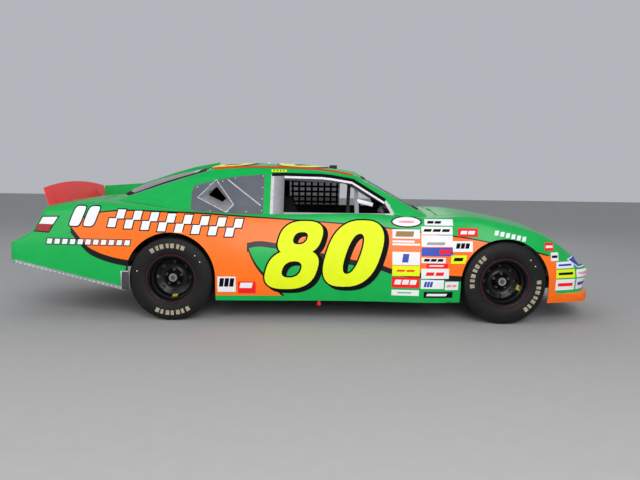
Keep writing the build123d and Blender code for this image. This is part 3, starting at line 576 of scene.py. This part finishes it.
# Loops of the digits: centre x | centre z | half width | half height | hole half width | hole half height
digit_loops = [
    (-0.088, 0.706, 0.178, 0.140, 0.058, 0.050),
    (-0.158, 0.448, 0.212, 0.166, 0.078, 0.068),
    (0.355, 0.582, 0.228, 0.276, 0.062, 0.166),
]
for k, loop in enumerate(digit_loops):
    for view in SIDES:
        numeral(*loop, view, side_panels, rise_step * k, view == "left")
roof_loops = [
    (-0.63, 0.03, 0.15, 0.14, 0.06, 0.055),
    (-0.72, -0.27, 0.18, 0.17, 0.075, 0.07),
    (-0.07, -0.14, 0.20, 0.30, 0.065, 0.18),
]
for k, loop in enumerate(roof_loops):
    numeral(*loop, "top", roof_panel, rise_step * k)

# Two slanted bars on each quarter
bar_z, bar_lean, bar_power = 0.862, 0.35, 5.0
bar_half_width, bar_half_height = 0.046, 0.082
for cx in (-1.945, -1.825):
    edged(oval(cx, bar_z, bar_half_width, bar_half_height, bar_lean, bar_power), 0.010)

# A plain chequered band in front of them, and a row of small marks below it
cell_pitch = 0.0695
cell_height = 0.0765
cell_lean = 0.016
band_start_x, band_start_z = -1.69, 0.775
band_fall = 0.0045  # from each cell to the next
for k in range(16):
    x0 = band_start_x + cell_pitch * k
    z0 = band_start_z - band_fall * k + (k % 2) * cell_height
    edged(rect(x0, x0 + cell_pitch, z0, z0 + cell_height, cell_lean), 0.007, trim=0.002)
mark_start_x, mark_pitch, mark_half_width = -2.18, 0.066, 0.022
for k in range(11):
    cx = mark_start_x + mark_pitch * k
    edged(rect(cx - mark_half_width, cx + mark_half_width, 0.630, 0.672, 0.008), 0.007, 0.0018)

# Tail lamp stickers: white over red with a dark edge
lamp = [(-2.305, 0.735), (-2.19, 0.728), (-2.115, 0.852), (-2.245, 0.848)]
lamp_red = [(-2.310, 0.735), (-2.19, 0.728), (-2.152, 0.79), (-2.278, 0.792)]
edged(lamp, 0.008, 0.0018)
vinyl(lamp_red, SIDES, side_panels, lamp_red_vinyl, 0.0024)

# Blank contingency panels: x from, x to, z from, z to, ground, mark, and the mark's share of the panel
panels = [
    (0.678, 0.905, 0.716, 0.790, white, brown, (0.1, 0.9, 0.2, 0.8)),
    (0.678, 0.905, 0.660, 0.676, white, None, None),
    (0.678, 0.860, 0.684, 0.700, white, None, None),
    (0.678, 0.905, 0.499, 0.607, white, blue, (0.35, 0.62, 0.2, 0.85)),
    (0.678, 0.905, 0.408, 0.493, yellow, red, (0.15, 0.85, 0.42, 0.6)),
    (0.678, 0.905, 0.308, 0.399, red, white, (0.08, 0.92, 0.3, 0.75)),
    (0.678, 0.905, 0.240, 0.290, white, green, (0.2, 0.8, 0.4, 0.6)),
    (0.946, 1.186, 0.826, 0.876, white, black, (0.08, 0.6, 0.3, 0.7)),
    (0.918, 1.180, 0.752, 0.816, white, black, (0.06, 0.94, 0.35, 0.7)),
    (0.918, 1.180, 0.652, 0.746, white, grey, (0.15, 0.85, 0.15, 0.4)),
    (0.918, 1.180, 0.577, 0.646, blue, red, (0.55, 0.95, 0.2, 0.8)),
    (0.918, 1.120, 0.518, 0.563, white, black, (0.08, 0.92, 0.3, 0.8)),
    (0.960, 1.140, 0.478, 0.514, red, white, (0.1, 0.9, 0.35, 0.65)),
    (0.918, 1.150, 0.388, 0.472, white, red, (0.15, 0.85, 0.3, 0.65)),
    (0.918, 1.110, 0.302, 0.378, white, blue, (0.12, 0.5, 0.2, 0.8)),
    (0.946, 1.190, 0.225, 0.276, black, white, (0.08, 0.92, 0.3, 0.7)),
    (1.225, 1.395, 0.735, 0.805, red, white, (0.12, 0.88, 0.3, 0.7)),
    (1.180, 1.350, 0.612, 0.700, white, black, (0.15, 0.85, 0.3, 0.8)),
    (1.165, 1.300, 0.514, 0.584, yellow, black, (0.15, 0.85, 0.3, 0.7)),
    (1.120, 1.235, 0.292, 0.362, white, pink, (0.1, 0.9, 0.35, 0.65)),
    (-0.770, -0.620, 0.255, 0.385, white, black, (0.08, 0.92, 0.35, 0.9)),
    (-0.600, -0.455, 0.245, 0.345, red, white, (0.08, 0.92, 0.45, 0.9)),
]
bar_fill = 0.82  # of the way from one bar of a mark to the next
for k, (x0, x1, z0, z1, ground, mark, share) in enumerate(panels):
    vinyl(rect(x0, x1, z0, z1), SIDES, side_panels, ground, 0.0026)
    if mark:
        w, h = x1 - x0, z1 - z0
        bars = 1 + k % 3
        for n in range(bars):
            a = share[0] + (share[1] - share[0]) * n / bars
            b = share[0] + (share[1] - share[0]) * (n + bar_fill) / bars
            bar = rect(x0 + w * a, x0 + w * b, z0 + h * share[2], z0 + h * share[3], 0.01)
            vinyl(bar, SIDES, side_panels, mark, 0.0034)

# Oval sticker over the panels: half width, half height, finish and lift of its layers
oval_layers = [(0.128, 0.046, black, 0.0022), (0.116, 0.036, white, 0.003), (0.070, 0.010, pink, 0.0036)]
oval_x, oval_z = 0.796, 0.852
for a, b, material, lift in oval_layers:
    vinyl(oval(oval_x, oval_z, a, b), SIDES, side_panels, material, lift)

# A row of small white blocks over the front wheel
block_start_x, block_start_z = 1.53, 0.752
block_pitch, block_width, block_height = 0.046, 0.032, 0.038
block_fall = 0.0095
for k in range(6):
    x0 = block_start_x + block_pitch * k
    z0 = block_start_z - block_fall * k
    block = rect(x0, x0 + block_width, z0, z0 + block_height, 0.01)
    vinyl(block, SIDES, side_panels, white, 0.0016, step=0.015)

# Panels on the nose, in small squares as the nose is round: x from, x to, z from, z to, ground, mark
nose_step = 0.008
nose_panels = [
    (1.965, 2.055, 0.625, 0.690, red, white),
    (2.02, 2.095, 0.54, 0.61, white, black),
    (2.07, 2.25, 0.475, 0.530, white, blue),
    (2.07, 2.26, 0.395, 0.466, yellow, black),
    (2.07, 2.26, 0.290, 0.384, white, red),
    (2.275, 2.445, 0.395, 0.458, white, pink),
    (2.275, 2.430, 0.290, 0.384, white, blue),
]
for x0, x1, z0, z1, ground, mark in nose_panels:
    vinyl(rect(x0, x1, z0, z1), SIDES, side_panels, ground, 0.0024, step=nose_step)
    side_clear, low_clear = (x1 - x0) * 0.12, (z1 - z0) * 0.35
    bar = rect(x0 + side_clear, x1 - side_clear, z0 + low_clear, z1 - low_clear)
    vinyl(bar, SIDES, side_panels, mark, 0.0032, step=nose_step)

# Headlamp stickers on the nose corners
headlamp = [(2.20, 0.545), (2.29, 0.572), (2.42, 0.505), (2.435, 0.485), (2.30, 0.482)]
headlamp_lens = [(2.27, 0.545), (2.31, 0.552), (2.40, 0.503), (2.40, 0.490), (2.31, 0.495)]
vinyl(headlamp, SIDES, side_panels, white, 0.0032, 0.008, step=nose_step)
vinyl(headlamp, SIDES, side_panels, blue, 0.0040, step=nose_step)
vinyl(headlamp_lens, SIDES, side_panels, grey, 0.0048, step=nose_step)

# Orange stripe along each roof edge, drawn from above: its outer edge as (x, z)
roof_stripe = [
    (-0.86, 1.258), (-0.66, 1.272), (-0.45, 1.279), (-0.15, 1.281),
    (0.08, 1.272), (0.18, 1.261), (0.27, 1.245), (0.36, 1.222),
]
stripe_width = 0.11
stripe_inset = 0.008  # clear of the seam between roof and pillars
stripe_side = [(x, -place(house_panels, "right", x, z).y - stripe_inset) for x, z in roof_stripe]
stripe_outline = stripe_side + [(x, y - stripe_width) for x, y in stripe_side[::-1]]
for s in (1, -1):
    vinyl([(x, s * y) for x, y in stripe_outline], ("top",), house_panels, roof_orange, 0.0024, step=0.012)

# Small yellow sticker with four marks over each door window
vinyl(rect(-0.35, -0.22, 1.254, 1.272), SIDES, house_panels, yellow, 0.0016, step=0.01)
for k in range(4):
    x0 = -0.335 + 0.028 * k
    vinyl(rect(x0, x0 + 0.016, 1.259, 1.267), SIDES, house_panels, black, 0.0024, step=0.01)

# A painted shadow: a black band over the door window openings, where the gap above them is in shade
shadow_gap_low = [(-0.345, 1.216), (-0.236, 1.220), (0.085, 1.215), (0.168, 1.207), (0.348, 1.179), (0.622, 1.012)]
shadow_gap_high = [(-0.345, 1.243), (-0.236, 1.247), (0.090, 1.242), (0.176, 1.234), (0.362, 1.203), (0.640, 1.034)]
vinyl(shadow_gap_low + shadow_gap_high[::-1], SIDES, house_panels, black, 0.0014, step=0.01)

# Dark borders of the windscreen and the rear window, and the straps over the rear window
windscreen_glass = surface("windscreen")
rear_glass = surface("rear_window")


def screen_edge(front, rear):
    """The outline of a screen from above: bowed front and rear edges, (corner x, middle x, half width)."""
    out = []
    for x, middle, half, way in ((*front, 1), (*rear, -1)):
        for k in range(9):
            across = way * half * (k / 4 - 1)
            out.append((middle + (x - middle) * (across / half) ** 2, across))
    return out


# Outer and inner edges of the borders, each as front and rear (corner x, middle x, half width)
screens = [
    (
        windscreen_glass,
        ((0.915, 1.000, 0.655), (0.432, 0.460, 0.518)),
        ((0.870, 0.950, 0.600), (0.470, 0.498, 0.480)),
    ),
    (
        rear_glass,
        ((-0.932, -0.905, 0.494), (-1.588, -1.742, 0.592)),
        ((-1.020, -0.985, 0.455), (-1.550, -1.695, 0.545)),
    ),
]
for target, outer_edge, inner_edge in screens:
    outline, hole = screen_edge(*outer_edge), screen_edge(*inner_edge)
    vinyl(outline, ("top",), target, black, 0.0014, -0.001, hole, step=0.05)
strap_half = 0.014
for y in (-0.2, 0.2):
    vinyl(rect(-1.70, -0.93, y - strap_half, y + strap_half), ("top",), rear_glass, aluminium, 0.002)

# Aluminium edge along the bottom of the tail, held by rivets
tail_edge_low = [(-2.548, 0.478), (-1.545, 0.253)]
edge_height = 0.030
tail_strip = tail_edge_low + [(x, z + edge_height) for x, z in tail_edge_low[::-1]]
vinyl(tail_strip, SIDES, side_panels, aluminium, 0.0016, step=0.04)

# Foil tape on the right quarter sheet, round the duct mouth and in a slanted strip ahead of it
duct_mouth = [(-0.826, 1.168), (-0.960, 1.028), (-0.722, 0.917), (-0.668, 0.972)]
tape_width = 0.011
tape_clear = 0.002  # from the tape to the mouth's edge
tape_hole = widened(duct_mouth, tape_width + tape_clear)
vinyl(duct_mouth, ("right",), house_panels, foil, 0.0014, tape_width, tape_hole)
long_tape = [(-0.732, 1.178), (-0.720, 1.184), (-0.424, 0.970), (-0.432, 0.963)]
vinyl(long_tape, ("right",), house_panels, foil, 0.0014)

# Straps of the window net, along it and then upright over them
net_faces = surface("window_net")
strap_width = 0.022
level_pitch, upright_pitch = 0.055, 0.068
for k in range(5):
    z = 0.935 + level_pitch * k
    vinyl(rect(-0.225, 0.29, z, z + strap_width), ("left",), net_faces, webbing, 0.0015)
for k in range(8):
    x = -0.215 + upright_pitch * k
    vinyl(rect(x, x + strap_width, 0.915, 1.18), ("left",), net_faces, webbing, 0.0028)

# Belts on the seat: the shoulder belts as (y, z) and the lap belts as (x, y), from the seat's middle
seat_faces = surface("seat")
seat_y = 0.38
shoulder_belt = ((0.05, 0.96), (0.10, 0.96), (0.055, 0.50), (0.008, 0.50))
lap_belt = ((-0.13, 0.185), (-0.08, 0.185), (-0.05, 0.0), (-0.10, 0.0))
for s in (-1, 1):
    vinyl([(seat_y + s * y, z) for y, z in shoulder_belt], ("front",), seat_faces, webbing, 0.004)
    vinyl([(x, seat_y + s * y) for x, y in lap_belt], ("top",), seat_faces, webbing, 0.006)


# Small parts
def cylinder(bm, centre, axis, radius, depth, segments=24, radius2=None):
    turn = Vector((0, 0, 1)).rotation_difference(Vector(axis).normalized()).to_matrix().to_4x4()
    bmesh.ops.create_cone(
        bm, cap_ends=True, segments=segments, radius1=radius, radius2=radius if radius2 is None else radius2,
        depth=depth, matrix=Matrix.Translation(centre) @ turn,
    )


def ball(bm, centre, radius, around=8, high=5):
    place_in_car = Matrix.Translation(centre)
    bmesh.ops.create_uvsphere(bm, u_segments=around, v_segments=high, radius=radius, matrix=place_in_car)


def plate(bm, low_corner, high_corner, bevel):
    """A box between two corners with softened edges."""
    low_corner, high_corner = Vector(low_corner), Vector(high_corner)
    middle, spread = (low_corner + high_corner) / 2, high_corner - low_corner
    shape = Matrix.Translation(middle) @ Matrix.Diagonal((*spread, 1))
    made = bmesh.ops.create_cube(bm, size=1.0, matrix=shape)
    edges = list({e for v in made["verts"] for e in v.link_edges})
    bmesh.ops.bevel(
        bm, geom=edges, offset=bevel, offset_type="OFFSET", segments=2, profile=0.5,
        affect="EDGES", material=-1,
    )


def one_cylinder(name, material, *shape):
    """A piece of the chassis that is one cylinder."""
    bm = bmesh.new()
    cylinder(bm, *shape)
    added(bm, name, "chassis", material)


def one_plate(name, material, low_corner, high_corner, bevel, smooth=30):
    """A piece of the chassis that is one plate."""
    bm = bmesh.new()
    plate(bm, low_corner, high_corner, bevel)
    added(bm, name, "chassis", material, smooth)


def spun_bar(centre, r0, r1, y0, y1, start=0.0, sweep=2 * math.pi):
    """A bar turned about the wheel's axis: from radius r0 to r1, y0 to y1, over this sweep of angle."""
    bm = bmesh.new()
    corners = [bm.verts.new((r, y, 0)) for r, y in ((r0, y0), (r1, y0), (r1, y1), (r0, y1))]
    bar = bm.faces.new(corners)
    full = sweep >= 2 * math.pi
    steps = 96 if full else max(2, round(sweep / 0.05))
    bmesh.ops.spin(
        bm, geom=bar.edges[:] if full else [bar], axis=(0, -1, 0), cent=(0, 0, 0), steps=steps, angle=sweep,
        use_merge=full, use_duplicate=False,
    )
    if full:
        bmesh.ops.delete(bm, geom=[bar], context="FACES_ONLY")
        bmesh.ops.remove_doubles(bm, verts=bm.verts, dist=1e-5)
    bmesh.ops.recalc_face_normals(bm, faces=bm.faces)
    place_in_car = Matrix.Translation(centre) @ Matrix.Rotation(-start, 4, "Y")
    bmesh.ops.transform(bm, verts=bm.verts, matrix=place_in_car)
    return bm


# What the scene adds to each wheel: radii, angles in radians, and sizes in metres
mark_inner, mark_outer = 0.262, 0.300
mark_depth, mark_proud = 0.003, 0.0006
front_mark_starts, rear_mark_starts = (2.25, 5.35), (1.15, 4.25)
mark_turn = 0.155
mark_sweeps = (0.11, 0.085)
chalk_radius = 0.285
chalk_turns = (0.55, 0.78, 2.9)
patch_inner, patch_outer = 0.150, 0.168
front_patch_turn, rear_patch_turn = -0.35, -1.5
patch_half_turn = 0.14
nut_circle = 0.0635
nut_turn = 0.3
nut_in, stud_out, cap_out = 0.018, 0.02, 0.042


def tyre_marks(label, centre, s):
    """Cream marks on the side wall, in two arcs."""
    face = s * (tyre_face - wheel_y)
    block = (mark_inner, mark_outer, face - s * mark_depth, face + s * mark_proud)
    bm = bmesh.new()
    for start in rear_mark_starts if "rear" in label else front_mark_starts:
        for k in range(7):
            absorb(bm, spun_bar(centre, *block, start + k * mark_turn, mark_sweeps[k % 2]))
    added(bm, f"tyre_marks_{label}", "wheel_" + label, cream, 0)


def ring(name, label, centre, r0, r1, y0, y1, material, smooth=30):
    """A full ring about the wheel's axis."""
    added(spun_bar(centre, r0, r1, y0, y1), f"{name}_{label}", "wheel_" + label, material, smooth)


def chalk_dots(label, centre, s):
    """Chalk dots on the side wall."""
    bm = bmesh.new()
    for w in chalk_turns:
        x = centre[0] + chalk_radius * math.cos(w)
        z = hub_z + chalk_radius * math.sin(w)
        cylinder(bm, (x, s * (tyre_face + 0.0002), z), (0, 1, 0), 0.0045, 0.002, 10)
    added(bm, f"chalk_dots_{label}", "wheel_" + label, white, 0)


def wheel_weight(label, centre, s):
    """A dull yellow patch on the rim."""
    middle = rear_patch_turn if "rear" in label else front_patch_turn
    turns = [middle + a for a in (-patch_half_turn, 0.0, patch_half_turn)]
    outer = [(centre[0] + patch_outer * math.cos(w), hub_z + patch_outer * math.sin(w)) for w in turns]
    inner = [(centre[0] + patch_inner * math.cos(w), hub_z + patch_inner * math.sin(w)) for w in turns]
    view = "left" if s > 0 else "right"
    rim_faces = surface("rim_" + label)
    vinyl(outer + inner[::-1], (view,), rim_faces, yellow_dull, 0.003, step=0.02, body="wheel_" + label)


def wheel_nuts(label, centre, s):
    """Five nuts on their studs, and the hub's cap."""
    bm = bmesh.new()
    for k in range(5):
        w = 2 * math.pi * k / 5 + nut_turn
        x, z = centre[0] + nut_circle * math.cos(w), hub_z + nut_circle * math.sin(w)
        y = s * (wheel_y - nut_in)
        cylinder(bm, (x, y, z), (0, 1, 0), 0.013, 0.022, 6)
        cylinder(bm, (x, y + s * stud_out, z), (0, 1, 0), 0.008, 0.03, 12)
    cylinder(bm, (centre[0], s * (wheel_y + cap_out), hub_z), (0, 1, 0), 0.036, 0.012, 8)
    added(bm, f"wheel_nuts_{label}", "wheel_" + label, dark_steel)


for label, axle_x, s in wheels:
    centre = (axle_x, s * wheel_y, hub_z)
    tyre_marks(label, centre, s)
    ring("rim_line", label, centre, 0.2035, 0.2065, s * 0.126, s * 0.129, dark_red, 0)
    chalk_dots(label, centre, s)
    wheel_weight(label, centre, s)
    wheel_nuts(label, centre, s)
    ring("hub_ring", label, centre, 0.020, 0.034, s * 0.046, s * 0.052, steel)
    ring("brake_disc", label, centre, 0.048, 0.152, -s * 0.088, -s * 0.066, cast)

# Jack marker under the right rocker
marker_x, marker_y = 0.074, -0.86
one_cylinder("marker_stem", steel, (marker_x, marker_y, 0.185), (0, 0, 1), 0.006, 0.05)
bm = bmesh.new()
ball(bm, (marker_x, marker_y, 0.152), 0.019, 16, 10)
added(bm, "marker_ball", "chassis", red, 60)

# Rivets along the tail edge, on the window frames and round the quarter sheets: start, stop, count and radius
rivet_rows = [
    (side_panels, (-2.50, 0.4765), (-1.58, 0.2715), 26, 0.0065),
    (house_panels, (-0.340, 0.905), (-0.338, 1.205), 13, 0.006),
    (house_panels, (0.650, 0.925), (0.668, 0.985), 4, 0.0055),
    (house_panels, (-0.420, 0.925), (-0.420, 1.215), 4, 0.006),
    (house_panels, (-0.66, 1.192), (-0.985, 1.112), 4, 0.006),
    (house_panels, (-1.008, 0.915), (-0.55, 0.915), 4, 0.006),
]
bm = bmesh.new()
for target, (x0, z0), (x1, z1), count, radius in rivet_rows:
    for view in SIDES:
        for k in range(count):
            share = k / (count - 1)
            point = place(target, view, x0 + share * (x1 - x0), z0 + share * (z1 - z0), 0.001)
            if point:
                ball(bm, point, radius)
added(bm, "rivets", "chassis", rivet_bright, 60)

# Bright channel that hangs along the top of the door window openings
channel_depth, channel_wall = 0.018, 0.003
channel_up = 0.005  # from the opening's edge to the channel's root
channel_line = []
for (x0, z0), (x1, z1) in zip(opening_top, opening_top[1:]):
    count = max(2, round((x1 - x0) / 0.05))
    channel_line += [(x0 + (x1 - x0) * k / count, z0 + (z1 - z0) * k / count) for k in range(count)]
channel_line.append(opening_top[-1])
for view in SIDES:
    bm = bmesh.new()
    verts = [bm.verts.new(place(house_panels, view, x, z + channel_up, 0.0008)) for x, z in channel_line]
    upper = [bm.edges.new(pair) for pair in zip(verts, verts[1:])]
    made = bmesh.ops.extrude_edge_only(bm, edges=upper)["geom"]
    hung = [g for g in made if isinstance(g, bmesh.types.BMVert)]
    out = 1 if view == "left" else -1
    bmesh.ops.translate(bm, verts=hung, vec=(0, out * channel_depth * 0.5, -channel_depth))
    bmesh.ops.recalc_face_normals(bm, faces=bm.faces)
    bmesh.ops.solidify(bm, geom=bm.faces[:], thickness=channel_wall)
    added(bm, f"window_channel_{view}", "chassis", channel_white)


def side_plate(bm, y, inner, outer, x0, x1, z0, z1):
    """A thin plate along the car's side, from inner to outer beyond the panel at y."""
    s = math.copysign(1, y)
    near, far = sorted((y + s * inner, y + s * outer))
    plate(bm, (x0, near, z0), (x1, far, z1), 0.001)


# Bracket plates at the front lower corners of the quarters, with rivets, bright edges and a dark plate
# inside. The dark plate is a painted shadow: a dark sheet set where the gap behind the quarter's edge is in
# shade.
bracket_foot, bracket_face, bracket_rim = 0.0035, 0.0065, 0.0085  # beyond the panel
bracket_rivet_x, bracket_rivet_radius = -1.556, 0.005
for view in SIDES:
    y = place(side_panels, view, -1.56, 0.35).y
    bm = bmesh.new()
    side_plate(bm, y, bracket_foot, bracket_face, -1.569, -1.504, 0.262, 0.416)
    for z in (0.29, 0.34, 0.39):
        ball(bm, (bracket_rivet_x, y + math.copysign(bracket_face, y), z), bracket_rivet_radius)
    added(bm, f"corner_bracket_{view}", "chassis", bracket_grey)
    bm = bmesh.new()
    side_plate(bm, y, bracket_foot, bracket_rim, -1.572, -1.564, 0.256, 0.418)
    side_plate(bm, y, bracket_foot, bracket_rim, -1.566, -1.508, 0.410, 0.418)
    added(bm, f"bracket_edge_{view}", "chassis", aluminium)
    # A painted shadow: a dark sheet behind the quarter's edge, where the arch is in shade
    bm = bmesh.new()
    side_plate(bm, y, -0.014, -0.010, -1.566, -1.517, 0.27, 0.505)
    added(bm, f"arch_plate_{view}", "chassis", satin_black)

# Duct behind the right quarter sheet: a foil lined throat
duct_rim_y = -0.66  # where the mouth's corner has no sheet behind it
duct_end = Vector((-0.835, -0.56, 1.06))
duct_taper = 0.5
bm = bmesh.new()
corners = []
for x, z in widened(duct_mouth, 0.008):
    corners.append(bm.verts.new(place(house_panels, "right", x, z) or (x, duct_rim_y, z)))
rim = [bm.edges.new((corners[k - 1], corners[k])) for k in range(len(corners))]
for deeper in bmesh.ops.extrude_edge_only(bm, edges=rim)["geom"]:
    if isinstance(deeper, bmesh.types.BMVert):
        across, up = deeper.co.x - duct_end.x, deeper.co.z - duct_end.z
        deeper.co = duct_end + Vector((across * duct_taper, 0, up * duct_taper))
bmesh.ops.recalc_face_normals(bm, faces=bm.faces)
bmesh.ops.solidify(bm, geom=bm.faces[:], thickness=0.002)
added(bm, "duct_throat", "chassis", foil)

# Pod and two small caps on the roof
pod = place(roof_panel, "top", 0.20, -0.10)
pod_low, pod_high = pod - Vector((0.035, 0.025, 0.006)), pod + Vector((0.035, 0.025, 0.030))
one_plate("roof_pod", satin_black, pod_low, pod_high, 0.008, 40)
bm = bmesh.new()
for x in (-0.41, -0.29):
    cylinder(bm, place(roof_panel, "top", x, -0.02, 0.004), (0, 0, 1), 0.012, 0.012, 16)
added(bm, "roof_caps", "chassis", white)

# Mirror on the right bar of the cage
mirror_middle = (0.46, -0.62, 1.0)
mirror_tilt = math.radians(14)
bm = bmesh.new()
plate(bm, (0.392, -0.634, 0.982), (0.535, -0.612, 1.016), 0.005)
bmesh.ops.rotate(bm, verts=bm.verts, cent=mirror_middle, matrix=Matrix.Rotation(mirror_tilt, 3, "Y"))
added(bm, "side_mirror", "chassis", white)

# Gauges on the dashboard, each as y and radius, and a row of switches
dash_x = 0.718
gauge_z = 0.868
switch_z, switch_start_y, switch_pitch = 0.862, 0.07, 0.035
gauges = [(0.19, 0.030), (0.27, 0.030), (0.38, 0.048), (0.49, 0.030), (0.56, 0.030)]
for k, (y, radius) in enumerate(gauges):
    one_cylinder(f"gauge_bezel_{k}", steel, (dash_x - 0.006, y, gauge_z), (1, 0, 0), radius, 0.014, 32)
    one_cylinder(f"gauge_dial_{k}", white, (dash_x - 0.0135, y, gauge_z), (1, 0, 0), radius * 0.86, 0.002, 32)
    needle_low = (dash_x - 0.0165, y - 0.0015, gauge_z - radius * 0.1)
    needle_high = (dash_x - 0.0145, y + 0.0015, gauge_z + radius * 0.7)
    one_plate(f"gauge_needle_{k}", red, needle_low, needle_high, 0.0004)
bm = bmesh.new()
for k in range(5):
    y = switch_start_y - switch_pitch * k
    cylinder(bm, (dash_x - 0.012, y, switch_z), (1, 0, 0.5), 0.0035, 0.03, 8, 0.005)
added(bm, "toggle_switches", "chassis", steel)

# Buckle where the belts meet
one_cylinder("belt_buckle", steel, (-0.185, seat_y, 0.50), (1, 0, 0.2), 0.032, 0.018, 20)

# Pin plates of the hood and the deck lid, each as (x, y) on both sides of the middle
pin_spots = {"hood": ((2.06, 0.33), (1.96, 0.50)), "deck_lid": ((-2.17, 0.30), (-2.17, 0.50))}
for node_name, spots in pin_spots.items():
    lid = surface(node_name)
    bm = bmesh.new()
    for x, y in spots:
        for s in (-1, 1):
            point = place(lid, "top", x, s * y, 0.001)
            cylinder(bm, point, (0, 0, 1), 0.024, 0.003, 24)
            cylinder(bm, point + Vector((0, 0, 0.008)), (0, 0, 1), 0.006, 0.018, 12)
    added(bm, f"pin_plates_{node_name}", frame["nodes"][node_name]["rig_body"], steel)

for (body, finish_name), bm in stickers.items():
    added(bm, f"vinyl_{body}_{finish_name}", body, bpy.data.materials[finish_name], 60)

# Stage, light and camera
bpy.ops.mesh.primitive_plane_add(size=60, location=(0, 0, -0.001))
floor = bpy.context.object
floor.name = "floor"
floor.data.materials.append(finish("floor_paint", (0.42, 0.415, 0.41), 0.9, vary=0.02, shine=0.1))

world = bpy.data.worlds.new("studio")
bpy.context.scene.world = world
world.use_nodes = True
sky = world.node_tree.nodes["Background"]
sky.inputs["Color"].default_value = (0.9, 0.93, 1.0, 1)
sky.inputs["Strength"].default_value = 0.5


def soft_light(name, spot, aim, size_m, power):
    """A square lamp that looks from its spot to its aim, with its power in watts."""
    light = bpy.data.lights.new(name, "AREA")
    light.size = size_m
    light.energy = power
    obj = bpy.data.objects.new(name, light)
    bpy.context.scene.collection.objects.link(obj)
    obj.location = spot
    obj.rotation_euler = (Vector(aim) - Vector(spot)).to_track_quat("-Z", "Y").to_euler()


soft_light("key", (1.2, -9.0, 4.4), (0, 0, 0.5), 5.0, 560)
soft_light("fill", (-6.5, -6.0, 4.0), (0, 0, 0.6), 5.0, 160)
soft_light("back", (0, 6.5, 5.0), (0, 0, 0.6), 6.0, 120)

# The camera as the wheels in the photograph place it
photo_width = 640.0  # pixels
focal_length = 628.0  # pixels
sensor_width = 36.0  # mm
camera_place = (0.002, -6.082, 1.22)
yaw, pitch, roll = math.radians(0.80), math.radians(5.78), math.radians(0.87)
camera_data = bpy.data.cameras.new("camera")
camera_data.sensor_width = sensor_width
camera_data.lens = focal_length / photo_width * sensor_width
camera = bpy.data.objects.new("camera", camera_data)
bpy.context.scene.collection.objects.link(camera)
forward = Vector((math.sin(yaw) * math.cos(pitch), math.cos(yaw) * math.cos(pitch), -math.sin(pitch)))
level = Vector((math.cos(yaw), -math.sin(yaw), 0))
upright = level.cross(forward)
right = level * math.cos(roll) + upright * math.sin(roll)
up = upright * math.cos(roll) - level * math.sin(roll)
turn = Matrix((right, up, -forward)).transposed().to_4x4()
camera.matrix_world = Matrix.Translation(camera_place) @ turn
bpy.context.scene.camera = camera
bpy.context.scene.view_settings.view_transform = "Standard"
